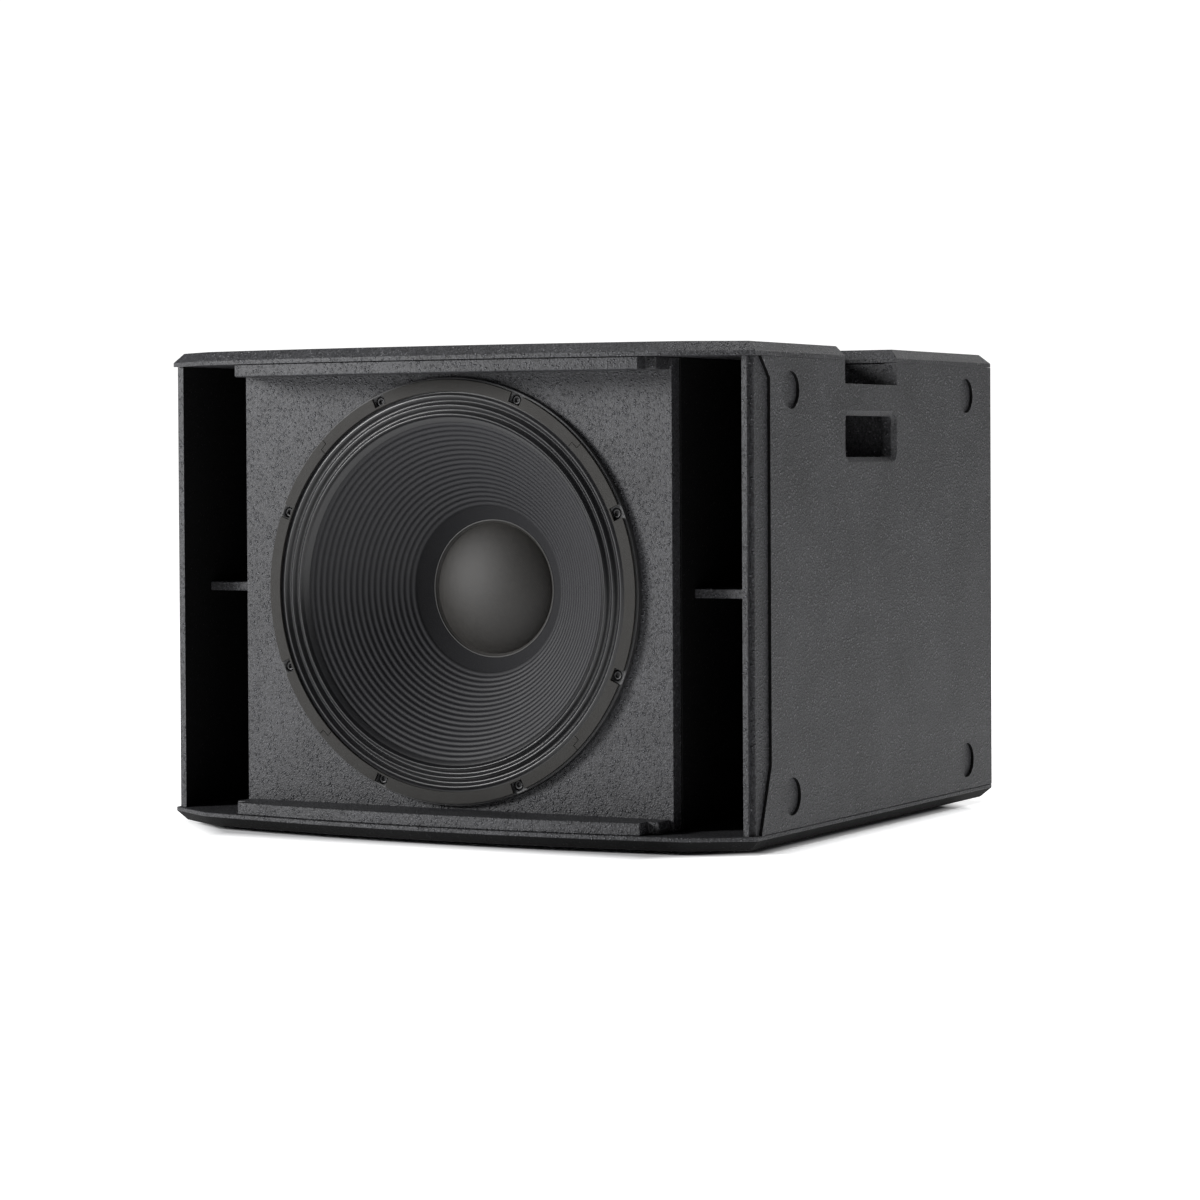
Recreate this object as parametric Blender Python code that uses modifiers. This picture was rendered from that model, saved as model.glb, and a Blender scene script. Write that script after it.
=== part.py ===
"""An 18-inch stage subwoofer cabinet, built board by board.

Metres, +Z up. The front faces -Y and the origin is on the floor, under the middle of the cabinet.
The box is 15 mm plywood: a bowed top and bottom panel over two side panels, with a port down each
side of the baffle. The driver is built as its own assembly around the driver axis, which runs
along -Y. Its moving parts hang from the empty "cone_axis".
"""

import math

import bmesh
import bpy
from mathutils import Matrix, Vector

# Cabinet
HALF_WIDTH = 0.3635
FRONT, REAR = -0.3525, 0.3525
FOOT_HEIGHT = 0.005
BOTTOM, TOP = FOOT_HEIGHT, 0.530
PLY = 0.015
GAP = 0.0003
SIDES = (("left", -1), ("right", 1))
FLOOR, CEILING = BOTTOM + PLY, TOP - PLY
MIDDLE = (BOTTOM + TOP) / 2
EDGE_BEVEL = 0.0105

# Plan of the top and bottom panels: a bowed middle between two straight, angled ends
BOW_RADIUS = 1.685
KINK_X = 0.2987
CORNER_SETBACK = 0.0662

# Side panels
SIDE_INNER = HALF_WIDTH - PLY
LIP_FRONT, LIP_WIDTH = FRONT + 0.0636, 0.006
LEDGE_FRONT = FRONT + 0.0695
REBATE_DEPTH, REBATE_REAR = 0.0035, FRONT + 0.1007
DIMPLE_RADIUS, DIMPLE_DEPTH = 0.020, 0.0035
DIMPLE_YS, DIMPLE_RISE = (-0.201, 0.2765), 0.213

# Handles
GRIP_Y = (-0.0645, 0.0750)
HOLE_Z, NOTCH_LOW = (0.4043, 0.4605), 0.4895
HOLE_CORNER, HOLE_FLARE = 0.012, 0.0055
POCKET_X, POCKET_WALL = 0.284, 0.009
POCKET_Y, POCKET_FLOOR = (-0.0680, 0.0785), 0.3985

# Baffle, ports and grille battens
BAFFLE_FRONT, BAFFLE_THICK = FRONT + 0.0672, 0.018
BAFFLE_BACK = BAFFLE_FRONT + BAFFLE_THICK
BAFFLE_HALF = 0.2663
BAFFLE_HOLE = 0.2105
PORT_WALL_OUTER, PORT_REAR = 0.2678, 0.2435
BRACE_THICK, BRACE_Y = 0.010, (FRONT + 0.114, 0.020)
BATTEN_HEIGHT, BATTEN_SETBACK = 0.013, 0.003
BATTEN_HALF, BATTEN_STEP_Y, BATTEN_TAIL_HALF = 0.2503, FRONT + 0.040, 0.2625

# Inside and back
WINDOW_BRACE_Y, WINDOW_HALF = 0.120, 0.160
REAR_FACE = REAR - 0.007
REAR_BACK = REAR_FACE - PLY
PLATE_Z, PLATE_HALF = 0.150, (0.060, 0.042)
PLATE_THICK, SOCKET_X = 0.0017, 0.028
SOCKET_FACE = REAR_FACE + GAP + PLATE_THICK + GAP
SOCKET_FLANGE, SOCKET_DEEP = 0.0022, 0.030

# Feet and pole mount
FOOT_X, FOOT_RADIUS = 0.314, 0.019
POLE_HALF, POLE_THICK, POLE_BORE = 0.050, 0.004, 0.010
POLE_SINK = 0.0026

# Driver: depths are measured inwards from the face of the gasket
DRIVER_FRONT = FRONT + 0.056
GASKET_IN, GASKET_OUT, GASKET_THICK = 0.2152, 0.2280, 0.003
STRIP_STEP, STRIP_SLACK = math.radians(1.1), math.radians(0.05)
BAY_HALF_ANGLE, BAY_FLOOR = math.radians(1.85), GASKET_IN + 0.0022
BOLT_CIRCLE, BOLT_COUNT, BOLT_SEAT = 0.2215, 8, 0.0083
BASKET_OUT, BASKET_FACE = 0.2305, GASKET_THICK + GAP
SEAT_DEPTH = BAFFLE_FRONT - DRIVER_FRONT - GAP
CONE_EDGE, CONE_EDGE_DEPTH = 0.1865, 0.0075
CONE_SLOPE = 0.83
CAP_RADIUS, CAP_RISE = 0.0752, 0.026
FORMER_IN, FORMER_OUT = 0.0500, 0.0508
SURROUND_OUT, ROLL_PITCH = 0.2162, 0.0095
SPIDER_DEPTH, SPIDER_OUT = 0.134, 0.105
BOWL_TOP, BOWL_LOW = 0.2085, 0.112
RING_DEPTH, TOP_PLATE_THICK, MAGNET_THICK, BACK_PLATE_THICK = 0.160, 0.010, 0.025, 0.012
TERMINAL_DEPTH, TERMINAL_X, POST_HEIGHT = 0.150, 0.012, 0.014
STRIP_Z = MIDDLE + BOWL_LOW + 0.0006
STEPS = 40
SHARP_ANGLE = math.radians(35)

PAINT, BARE = "textured_paint", "painted_inside"
COLOURS = {
    PAINT: ((0.055, 0.056, 0.060), 0.62, 0.0),
    BARE: ((0.030, 0.030, 0.032), 0.75, 0.0),
    "gasket_board": ((0.050, 0.047, 0.044), 0.85, 0.0),
    "cast_aluminium": ((0.020, 0.020, 0.021), 0.50, 0.6),
    "treated_cloth": ((0.020, 0.020, 0.022), 0.55, 0.0),
    "cone_pulp": ((0.022, 0.022, 0.025), 0.70, 0.0),
    "cap_cloth": ((0.070, 0.068, 0.062), 0.85, 0.0),
    "spider_cloth": ((0.320, 0.250, 0.120), 0.90, 0.0),
    "former_film": ((0.300, 0.210, 0.110), 0.45, 0.0),
    "copper_wire": ((0.720, 0.330, 0.180), 0.35, 1.0),
    "plated_steel": ((0.420, 0.420, 0.430), 0.40, 1.0),
    "black_steel": ((0.025, 0.025, 0.026), 0.45, 0.8),
    "ferrite": ((0.060, 0.058, 0.056), 0.65, 0.0),
    "socket_plastic": ((0.018, 0.018, 0.020), 0.45, 0.0),
    "rubber": ((0.022, 0.022, 0.022), 0.85, 0.0),
    "red_insulation": ((0.450, 0.030, 0.025), 0.45, 0.0),
    "black_insulation": ((0.015, 0.015, 0.015), 0.45, 0.0),
}


# ---- scene and materials


def clear_scene():
    for thing in list(bpy.data.objects):
        bpy.data.objects.remove(thing, do_unlink=True)


def new_collection(name):
    group = bpy.data.collections.new(name)
    bpy.context.scene.collection.children.link(group)
    return group


clear_scene()
PARTS = new_collection("stage_subwoofer")
CUTTERS = new_collection("cutters")
MATERIALS = {}


def material(name):
    if name not in MATERIALS:
        colour, roughness, metallic = COLOURS[name]
        made = bpy.data.materials.new(name)
        made.use_nodes = True
        shader = made.node_tree.nodes["Principled BSDF"]
        shader.inputs["Base Color"].default_value = (*colour, 1.0)
        shader.inputs["Roughness"].default_value = roughness
        shader.inputs["Metallic"].default_value = metallic
        MATERIALS[name] = made
    return MATERIALS[name]


def add_object(name, mesh, finish=None):
    """Link a mesh as a part, or as a hidden cutter when it has no finish."""
    thing = bpy.data.objects.new(name, mesh)
    if finish is None:
        CUTTERS.objects.link(thing)
        thing.hide_render = True
        thing.display_type = "WIRE"
    else:
        PARTS.objects.link(thing)
        mesh.materials.append(material(finish))
    return thing


def cut(target, *cutters):
    for cutter in cutters:
        boolean = target.modifiers.new("cut_" + cutter.name, "BOOLEAN")
        boolean.operation = "DIFFERENCE"
        boolean.solver = "EXACT"
        boolean.object = cutter


# ---- shape makers


def mesh_of(bm, name):
    mesh = bpy.data.meshes.new(name)
    bm.to_mesh(mesh)
    bm.free()
    return mesh


def smooth(mesh):
    """Shade the round faces smooth and keep the corners sharp."""
    mesh.shade_smooth()
    mesh.set_sharp_from_angle(angle=SHARP_ANGLE)
    return mesh


def add_block(bm, low, high):
    """A box between two corners, in any order."""
    lowest = Vector(map(min, low, high))
    highest = Vector(map(max, low, high))
    place = Matrix.Translation((lowest + highest) / 2)
    bmesh.ops.create_cube(bm, size=1, matrix=place @ Matrix.Diagonal((*(highest - lowest), 1)))


def add_rod(bm, start, end, radius, end_radius=None, sides=20):
    """A rod, or a cone, between two points."""
    start, end = Vector(start), Vector(end)
    turn = (end - start).to_track_quat("Z", "Y").to_matrix().to_4x4()
    bmesh.ops.create_cone(
        bm, cap_ends=True, segments=sides, depth=(end - start).length, radius1=radius,
        radius2=radius if end_radius is None else end_radius,
        matrix=Matrix.Translation((start + end) / 2) @ turn)


def blocks(name, corners, finish=None):
    bm = bmesh.new()
    for low, high in corners:
        add_block(bm, low, high)
    return add_object(name, mesh_of(bm, name), finish)


def rods(name, ends, radius, finish=None, sides=20, end_radius=None):
    bm = bmesh.new()
    for start, end in ends:
        add_rod(bm, start, end, radius, end_radius, sides)
    return add_object(name, smooth(mesh_of(bm, name)), finish)


def curve_mesh(curve, frame):
    """The welded mesh of a curve object placed by a matrix."""
    holder = bpy.data.objects.new("holder", curve)
    CUTTERS.objects.link(holder)
    bpy.context.view_layer.update()
    seen = holder.evaluated_get(bpy.context.evaluated_depsgraph_get())
    mesh = bpy.data.meshes.new_from_object(seen)
    bm = bmesh.new()
    bm.from_mesh(mesh)
    bmesh.ops.remove_doubles(bm, verts=bm.verts, dist=1e-6)
    bm.transform(frame)
    if frame.determinant() < 0:
        bmesh.ops.reverse_faces(bm, faces=bm.faces)
    bm.to_mesh(mesh)
    bm.free()
    bpy.data.objects.remove(holder, do_unlink=True)
    bpy.data.curves.remove(curve)
    return smooth(mesh)


def plates(name, outlines, thickness, frame, finish=None):
    """Flat plates with given outlines, extruded along the frame's own Z from 0 to thickness."""
    curve = bpy.data.curves.new(name, "CURVE")
    curve.dimensions = "2D"
    curve.fill_mode = "BOTH"
    curve.extrude = thickness / 2
    for outline in outlines:
        spline = curve.splines.new("POLY")
        spline.points.add(len(outline) - 1)
        for point, (x, y) in zip(spline.points, outline):
            point.co = (x, y, 0, 1)
        spline.use_cyclic_u = True
    mesh = curve_mesh(curve, frame @ Matrix.Translation((0, 0, thickness / 2)))
    mesh.name = name
    return add_object(name, mesh, finish)


def turned(name, profile, finish, closed=True, thickness=0.0, steps=STEPS):
    """A profile of (radius, depth) points turned about Z, with the depth below the XY plane.

    An open profile runs outwards and is the front face of a shell with the given thickness.
    """
    bm = bmesh.new()
    points = [bm.verts.new((radius, 0, -depth)) for radius, depth in profile]
    for first, second in zip(points, points[1:] + points[:1] * closed):
        bm.edges.new((first, second))
    thing = add_object(name, mesh_of(bm, name), finish)
    screw = thing.modifiers.new("turn", "SCREW")
    screw.steps = screw.render_steps = steps
    screw.use_merge_vertices = True
    screw.merge_threshold = 1e-5
    screw.use_smooth_shade = True
    if thickness:
        shell = thing.modifiers.new("shell", "SOLIDIFY")
        shell.thickness = thickness
        shell.offset = -1
    return thing


def on_driver(thing):
    """Stand a turned piece on the driver axis, facing the front."""
    thing.location = (0, DRIVER_FRONT, MIDDLE)
    thing.rotation_euler = (math.pi / 2, 0, 0)
    return thing


def wire(name, route, radius, finish):
    """A round wire along a smooth curve through the route's points."""
    points = smooth_route([Vector(p) for p in route])
    curve = bpy.data.curves.new(name, "CURVE")
    curve.dimensions = "3D"
    curve.bevel_depth = radius
    curve.bevel_resolution = 2
    curve.use_fill_caps = True
    spline = curve.splines.new("POLY")
    spline.points.add(len(points) - 1)
    for place, co in zip(spline.points, points):
        place.co = (*co, 1)
    return add_object(name, curve_mesh(curve, Matrix.Identity(4)), finish)


def smooth_route(points, pieces=3):
    """Points along a Catmull-Rom curve through the given ones."""
    ends = [2 * points[0] - points[1]] + points + [2 * points[-1] - points[-2]]
    found = []
    for a, b, c, d in zip(ends, ends[1:], ends[2:], ends[3:]):
        for i in range(pieces):
            t = i / pieces
            found.append(0.5 * (2 * b + (c - a) * t + (2 * a - 5 * b + 4 * c - d) * t * t
                                + (3 * b - a - 3 * c + d) * t ** 3))
    return found + [points[-1]]


def rounded_box(low, high, radius, pieces=3):
    """The outline of a rectangle with round corners."""
    corners = ((high[0] - radius, high[1] - radius), (low[0] + radius, high[1] - radius),
               (low[0] + radius, low[1] + radius), (high[0] - radius, low[1] + radius))
    outline = []
    for quarter, (x, y) in enumerate(corners):
        for i in range(pieces + 1):
            angle = math.pi / 2 * (quarter + i / pieces)
            outline.append((x + radius * math.cos(angle), y + radius * math.sin(angle)))
    return outline


# Frames for plates: the first two axes carry the outline and the third the thickness.
# The outline of a side plate is (y, z) and that of a driver plate is (x, z).
def level(z):
    return Matrix.Translation((0, 0, z))


def side_frame(x, side):
    """Outline in (y, z), thickness from x away from the cabinet on that side."""
    axes = Matrix(((0, 0, side, 0), (1, 0, 0, 0), (0, 1, 0, 0), (0, 0, 0, 1)))
    return Matrix.Translation((x * side, 0, 0)) @ axes


def front_frame(y):
    """Outline in (x, z), thickness from y towards the back."""
    axes = Matrix(((1, 0, 0, 0), (0, 0, 1, 0), (0, 1, 0, 0), (0, 0, 0, 1)))
    return Matrix.Translation((0, y, 0)) @ axes


# ---- cabinet


def bow_y(x, setback=0.0):
    """The bowed front line at a distance x from the middle."""
    radius = BOW_RADIUS - setback
    return FRONT + BOW_RADIUS - math.sqrt(radius * radius - x * x)


def bowed_line(half, setback=0.0, pieces=12):
    return [(x, bow_y(x, setback)) for x in (half * (2 * i / pieces - 1) for i in range(pieces + 1))]


def panel_outline():
    corner_y = FRONT + CORNER_SETBACK
    return ([(-HALF_WIDTH, corner_y)] + bowed_line(KINK_X)
            + [(HALF_WIDTH, corner_y), (HALF_WIDTH, REAR), (-HALF_WIDTH, REAR)])


def bevel_rim(thing, rim_z):
    """Bevel the outline at one level, once each cap is a single face."""
    bm = bmesh.new()
    bm.from_mesh(thing.data)
    inside = [edge for edge in bm.edges if all(abs(face.normal.z) > 0.99 for face in edge.link_faces)]
    bmesh.ops.dissolve_edges(bm, edges=inside)
    weight = bm.edges.layers.float.new("bevel_weight_edge")
    for edge in bm.edges:
        edge[weight] = float(all(abs(vert.co.z - rim_z) < 1e-5 for vert in edge.verts))
    bm.to_mesh(thing.data)
    bm.free()
    bevel = thing.modifiers.new("rim", "BEVEL")
    bevel.limit_method = "WEIGHT"
    bevel.width = EDGE_BEVEL
    bevel.segments = 1


def handle_slot(side):
    """Cutters for the slot over a handle, with a flare along its inner and rear edges only."""
    near, far = GRIP_Y
    outer = side * (HALF_WIDTH + 0.02)
    slot = blocks("handle_slot", [((side * POCKET_X, near, CEILING - 0.01), (outer, far, TOP + 0.01))])
    flare = blocks("slot_flare", [((side * POCKET_X, near, TOP - EDGE_BEVEL),
                                   (outer, far, TOP + EDGE_BEVEL))])
    for vert in flare.data.vertices:
        if vert.co.z > TOP:
            vert.co.x -= side * 2 * EDGE_BEVEL * (abs(vert.co.x) < HALF_WIDTH)
            vert.co.y += 2 * EDGE_BEVEL * (vert.co.y > 0)
    return slot, flare


def corner_spots():
    return [(side * FOOT_X, y) for side in (-1, 1) for y in DIMPLE_YS]


def top_panel():
    panel = plates("top_panel", [panel_outline()], PLY, level(CEILING), PAINT)
    bevel_rim(panel, TOP)
    dimples = rods("dimples_top", [((x, y, TOP - DIMPLE_DEPTH), (x, y, TOP + 0.01))
                                   for x, y in corner_spots()], DIMPLE_RADIUS)
    half = POLE_HALF + GAP
    seat = plates("pole_seat", [rounded_box((-half, -half), (half, half), 0.008)],
                  0.02, level(TOP - POLE_THICK - GAP))
    boss = rods("pole_boss_hole", [((0, 0, CEILING - 0.01), (0, 0, TOP))], 0.0195)
    pilots = rods("pole_screw_holes", [((x, y, CEILING + 0.002), (x, y, TOP + 0.01))
                                       for x, y in pole_screw_spots()], 0.0023, sides=8)
    cut(panel, *handle_slot(-1), *handle_slot(1), dimples, seat, boss, pilots)


def bottom_panel():
    panel = plates("bottom_panel", [panel_outline()], PLY, level(BOTTOM), PAINT)
    bevel_rim(panel, BOTTOM)
    holes = rods("foot_screw_holes", [((x, y, BOTTOM - 0.01), (x, y, BOTTOM + 0.0125))
                                      for x, y in corner_spots()], 0.0026, sides=10)
    cut(panel, holes)


def hand_hole(name, side):
    """Cutters for the hand hole: a straight hole, and a flare round its outer rim."""
    low, high = (GRIP_Y[0], HOLE_Z[0]), (GRIP_Y[1], HOLE_Z[1])
    inset = HOLE_FLARE
    narrow = rounded_box((low[0] + inset, low[1] + inset), (high[0] - inset, high[1] - inset),
                         HOLE_CORNER - inset)
    hole = plates(name, [narrow], 2 * PLY, side_frame(SIDE_INNER - 0.01, side))
    flare = plates("flare_" + name, [rounded_box(low, high, HOLE_CORNER)], 2 * inset,
                   side_frame(HALF_WIDTH - inset, side))
    middle = Vector((0, (low[0] + high[0]) / 2, (low[1] + high[1]) / 2))
    for vert in flare.data.vertices:
        grow = inset if abs(vert.co.x) > HALF_WIDTH else -inset
        vert.co.y += grow * (vert.co.y - middle.y) / ((high[0] - low[0]) / 2)
        vert.co.z += grow * (vert.co.z - middle.z) / ((high[1] - low[1]) / 2)
    return hole, flare


def side_panel(name, side):
    panel = blocks(name, [((side * SIDE_INNER, LIP_FRONT, FLOOR + GAP),
                           (side * HALF_WIDTH, REAR, CEILING - GAP))], PAINT)
    beyond = HALF_WIDTH + 0.02
    ledge = blocks("ledge_" + name, [((side * (SIDE_INNER + LIP_WIDTH), LIP_FRONT - 0.02, 0),
                                      (side * beyond, LEDGE_FRONT, TOP))])
    # A shallow rebate along the front, with angled ends that differ top and bottom
    outline = [(LIP_FRONT - 0.03, FLOOR - 0.01), (FRONT + 0.073, FLOOR - 0.01),
               (REBATE_REAR, 0.090), (REBATE_REAR, 0.4925),
               (FRONT + 0.070, CEILING + 0.01), (LIP_FRONT - 0.03, CEILING + 0.01)]
    rebate = plates("rebate_" + name, [outline], 0.01, side_frame(HALF_WIDTH - REBATE_DEPTH, side))
    notch = blocks("notch_" + name, [((side * (SIDE_INNER - 0.01), GRIP_Y[0], NOTCH_LOW),
                                      (side * beyond, GRIP_Y[1], TOP))])
    dimples = rods("dimples_" + name,
                   [((side * (HALF_WIDTH - DIMPLE_DEPTH), y, z), (side * beyond, y, z))
                    for y in DIMPLE_YS for z in (MIDDLE - DIMPLE_RISE, MIDDLE + DIMPLE_RISE)],
                   DIMPLE_RADIUS)
    cut(panel, ledge, rebate, *hand_hole("hole_" + name, side), notch, dimples)


def handle_pocket(name, side):
    """A five-board pocket behind the grip, open to the outside and to the notch above it."""
    outer = POCKET_X - POCKET_WALL
    near, far = POCKET_Y
    pocket = blocks(name, [((side * outer, near - POCKET_WALL, POCKET_FLOOR - POCKET_WALL),
                            (side * (SIDE_INNER - GAP), far + POCKET_WALL, CEILING - GAP))], BARE)
    hollow = blocks("hollow_" + name, [((side * POCKET_X, near, POCKET_FLOOR),
                                        (side * HALF_WIDTH, far, TOP))])
    cut(pocket, hollow)


def rear_panel():
    half = SIDE_INNER - GAP
    panel = blocks("rear_panel", [((-half, REAR_BACK, FLOOR + GAP),
                                   (half, REAR_FACE, CEILING - GAP))], PAINT)
    across, up = PLATE_HALF[0] - 0.010, PLATE_HALF[1] - 0.010
    window = blocks("plate_window", [((-across, REAR_BACK - 0.01, PLATE_Z - up),
                                      (across, REAR + 0.01, PLATE_Z + up))])
    pilots = rods("plate_pilots", [((x, REAR_BACK + 0.003, z), (x, REAR + 0.01, z))
                                   for x, z in plate_screw_spots()], 0.0021, sides=10)
    cut(panel, window, pilots)


def driver_spots(radius, count=BOLT_COUNT):
    """Places on a circle about the driver axis, half a step off the horizontal."""
    angles = [2 * math.pi * (i + 0.5) / count for i in range(count)]
    return [(radius * math.cos(a), MIDDLE + radius * math.sin(a)) for a in angles]


def baffle():
    board = blocks("baffle", [((-BAFFLE_HALF, BAFFLE_FRONT, FLOOR + GAP),
                               (BAFFLE_HALF, BAFFLE_BACK, CEILING - GAP))], PAINT)
    hole = rods("baffle_hole", [((0, BAFFLE_FRONT - 0.02, MIDDLE), (0, BAFFLE_BACK + 0.02, MIDDLE))],
                BAFFLE_HOLE, sides=STEPS)
    bolts = rods("baffle_bolt_holes", [((x, BAFFLE_FRONT - 0.02, z), (x, BAFFLE_BACK + 0.02, z))
                                       for x, z in driver_spots(BOLT_CIRCLE)], 0.0042, sides=8)
    cut(board, hole, bolts)


def port_parts(word, side):
    """The inner wall of a port, and the brace that holds it off the side panel."""
    inner = PORT_WALL_OUTER - PLY
    blocks(word + "_port_wall", [((side * inner, BAFFLE_BACK + GAP, FLOOR + GAP),
                                  (side * PORT_WALL_OUTER, PORT_REAR, CEILING - GAP))], BARE)
    low, high = MIDDLE - BRACE_THICK / 2, MIDDLE + BRACE_THICK / 2
    blocks(word + "_port_brace", [((side * (PORT_WALL_OUTER + GAP), BRACE_Y[0], low),
                                   (side * (SIDE_INNER - GAP), BRACE_Y[1], high))], PAINT)


def grille_batten(name, low):
    back = BAFFLE_FRONT - GAP
    front = bowed_line(BATTEN_HALF, BATTEN_SETBACK)
    tail = [(BATTEN_HALF, BATTEN_STEP_Y), (BATTEN_TAIL_HALF, BATTEN_STEP_Y), (BATTEN_TAIL_HALF, back)]
    outline = front + tail + [(-x, y) for x, y in reversed(tail)]
    plates(name, [outline], BATTEN_HEIGHT, level(low), PAINT)


def window_brace():
    half = PORT_WALL_OUTER - PLY - GAP
    brace = blocks("window_brace", [((-half, WINDOW_BRACE_Y, FLOOR + GAP),
                                     (half, WINDOW_BRACE_Y + PLY, CEILING - GAP))], BARE)
    opening = plates("brace_window", [rounded_box((-WINDOW_HALF, MIDDLE - WINDOW_HALF),
                                                  (WINDOW_HALF, MIDDLE + WINDOW_HALF), 0.04)],
                     0.05, front_frame(WINDOW_BRACE_Y - 0.02))
    cut(brace, opening)


# ---- driver


def arc(radius, start, end, pieces):
    return [(radius, start + (end - start) * i / pieces) for i in range(pieces + 1)]


def driver_outline(polar):
    return [(radius * math.cos(angle), MIDDLE + radius * math.sin(angle)) for radius, angle in polar]


def gasket_outline(middle):
    """One of four gasket strips: a bay round each of two bolts, and stepped ends that interlock."""
    joint = (GASKET_IN + GASKET_OUT) / 2
    start, end = middle - math.pi / 4 + STRIP_SLACK, middle + math.pi / 4 - STRIP_SLACK
    stops = [start - STRIP_STEP]
    for bolt in (middle - math.pi / 8, middle + math.pi / 8):
        stops += [bolt - BAY_HALF_ANGLE, bolt + BAY_HALF_ANGLE]
    stops.append(end - STRIP_STEP)
    polar = [(joint + GAP / 2, start + STRIP_STEP), (joint + GAP / 2, start - STRIP_STEP)]
    polar += arc(GASKET_OUT, stops[0], stops[1], 4) + [(BAY_FLOOR, stops[1]), (BAY_FLOOR, stops[2])]
    polar += arc(GASKET_OUT, stops[2], stops[3], 6) + [(BAY_FLOOR, stops[3]), (BAY_FLOOR, stops[4])]
    polar += arc(GASKET_OUT, stops[4], stops[5], 4)
    polar += [(joint - GAP / 2, end - STRIP_STEP), (joint - GAP / 2, end + STRIP_STEP)]
    polar += arc(GASKET_IN, end + STRIP_STEP, start + STRIP_STEP, 16)
    return driver_outline(polar)


def gasket_strips():
    for i in range(4):
        name = "gasket_strip_%d" % (i + 1)
        plates(name, [gasket_outline(i * math.pi / 2)], GASKET_THICK, front_frame(DRIVER_FRONT),
               "gasket_board")


def basket_arms():
    """Cutters for eight windows that leave eight arms between them."""
    half_angle = math.radians(12.5)
    outlines = []
    for i in range(BOLT_COUNT):
        middle = 2 * math.pi * i / BOLT_COUNT
        outer = arc(BOWL_TOP - 0.0125, middle - half_angle, middle + half_angle, 2)
        inner = arc(BOWL_LOW + 0.004, middle + half_angle, middle - half_angle, 2)
        outlines.append(driver_outline(outer + inner))
    return plates("basket_windows", outlines, 0.104, front_frame(DRIVER_FRONT + 0.020))


def basket():
    """A cast frame: front flange, eight arms, spider ledge and the ring that carries the magnet."""
    wall, recess = 0.004, BASKET_FACE + 0.0013
    ledge_in, ledge_out = SPIDER_OUT - 0.006, SPIDER_OUT + 0.001
    ledge = SPIDER_DEPTH + 0.0007 + GAP
    low = RING_DEPTH + 0.0095
    profile = [
        (BASKET_OUT, BASKET_FACE), (BASKET_OUT, SEAT_DEPTH), (BOWL_TOP, SEAT_DEPTH),
        (BOWL_TOP, 0.026), (BOWL_LOW, 0.128), (BOWL_LOW, low),
        (0.060, low), (0.060, RING_DEPTH), (BOWL_LOW - 0.016, RING_DEPTH),
        (BOWL_LOW - 0.016, ledge + 0.003), (ledge_in, ledge),
        (ledge_out, ledge), (ledge_out, 0.126),
        (BOWL_TOP - wall, 0.024), (BOWL_TOP - wall, SEAT_DEPTH - 0.003),
        (SURROUND_OUT - 0.0018, recess), (SURROUND_OUT + 0.0003, recess),
        (SURROUND_OUT + 0.0003, BASKET_FACE),
    ]
    frame = on_driver(turned("driver_basket", profile, "cast_aluminium"))
    spots = driver_spots(BOLT_CIRCLE)
    seats = rods("bolt_seats", [((x, DRIVER_FRONT - 0.01, z), (x, DRIVER_FRONT + BOLT_SEAT, z))
                                for x, z in spots], 0.0062, sides=12)
    holes = rods("bolt_holes", [((x, DRIVER_FRONT, z), (x, DRIVER_FRONT + 0.03, z))
                                for x, z in spots], 0.0033, sides=8)
    cut(frame, basket_arms(), seats, holes)


def driver_bolts():
    """Socket-head bolts through the basket and the baffle."""
    for i, (x, z) in enumerate(driver_spots(BOLT_CIRCLE)):
        name = "driver_bolt_%d" % (i + 1)
        seat = DRIVER_FRONT + BOLT_SEAT
        bolt = fastener(name, (x, seat, z), (0, -1, 0), (0.0047, 0.0038), (0.0029, 0.026), "black_steel")
        key = rods("key_" + name, [((x, seat - 0.010, z), (x, seat - 0.0016, z))], 0.0026, sides=6)
        cut(bolt, key)


def cone_depth(radius):
    return CONE_EDGE_DEPTH + (CONE_EDGE - radius) * CONE_SLOPE


def surround():
    """Three rolls of treated cloth, clamped outside and glued to the edge of the cone."""
    rest = BASKET_FACE + 0.0001
    glued = CONE_EDGE - 0.004
    lift = 0.0017
    profile = [(glued, cone_depth(glued) - lift), (CONE_EDGE, CONE_EDGE_DEPTH - lift)]
    for i in range(3):
        crest = CONE_EDGE + (0.4 + i) * ROLL_PITCH
        profile += [(crest, rest - 0.0016), (crest + ROLL_PITCH / 2, rest + 0.0026)]
    profile[-1] = (SURROUND_OUT - 0.002, rest)
    profile.append((SURROUND_OUT, rest))
    on_driver(turned("surround", profile, "treated_cloth", closed=False, thickness=0.0008))


def dust_cap_profile():
    """An arc from the middle of the cap to its rim, which meets the cone."""
    rim_depth = cone_depth(CAP_RADIUS) - 0.0008
    radius = (CAP_RADIUS ** 2 + CAP_RISE ** 2) / (2 * CAP_RISE)
    centre = rim_depth - CAP_RISE + radius
    angles = [math.asin(CAP_RADIUS / radius) * i / 4 for i in range(5)]
    return [(radius * math.sin(a), centre - radius * math.cos(a)) for a in angles]


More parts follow.
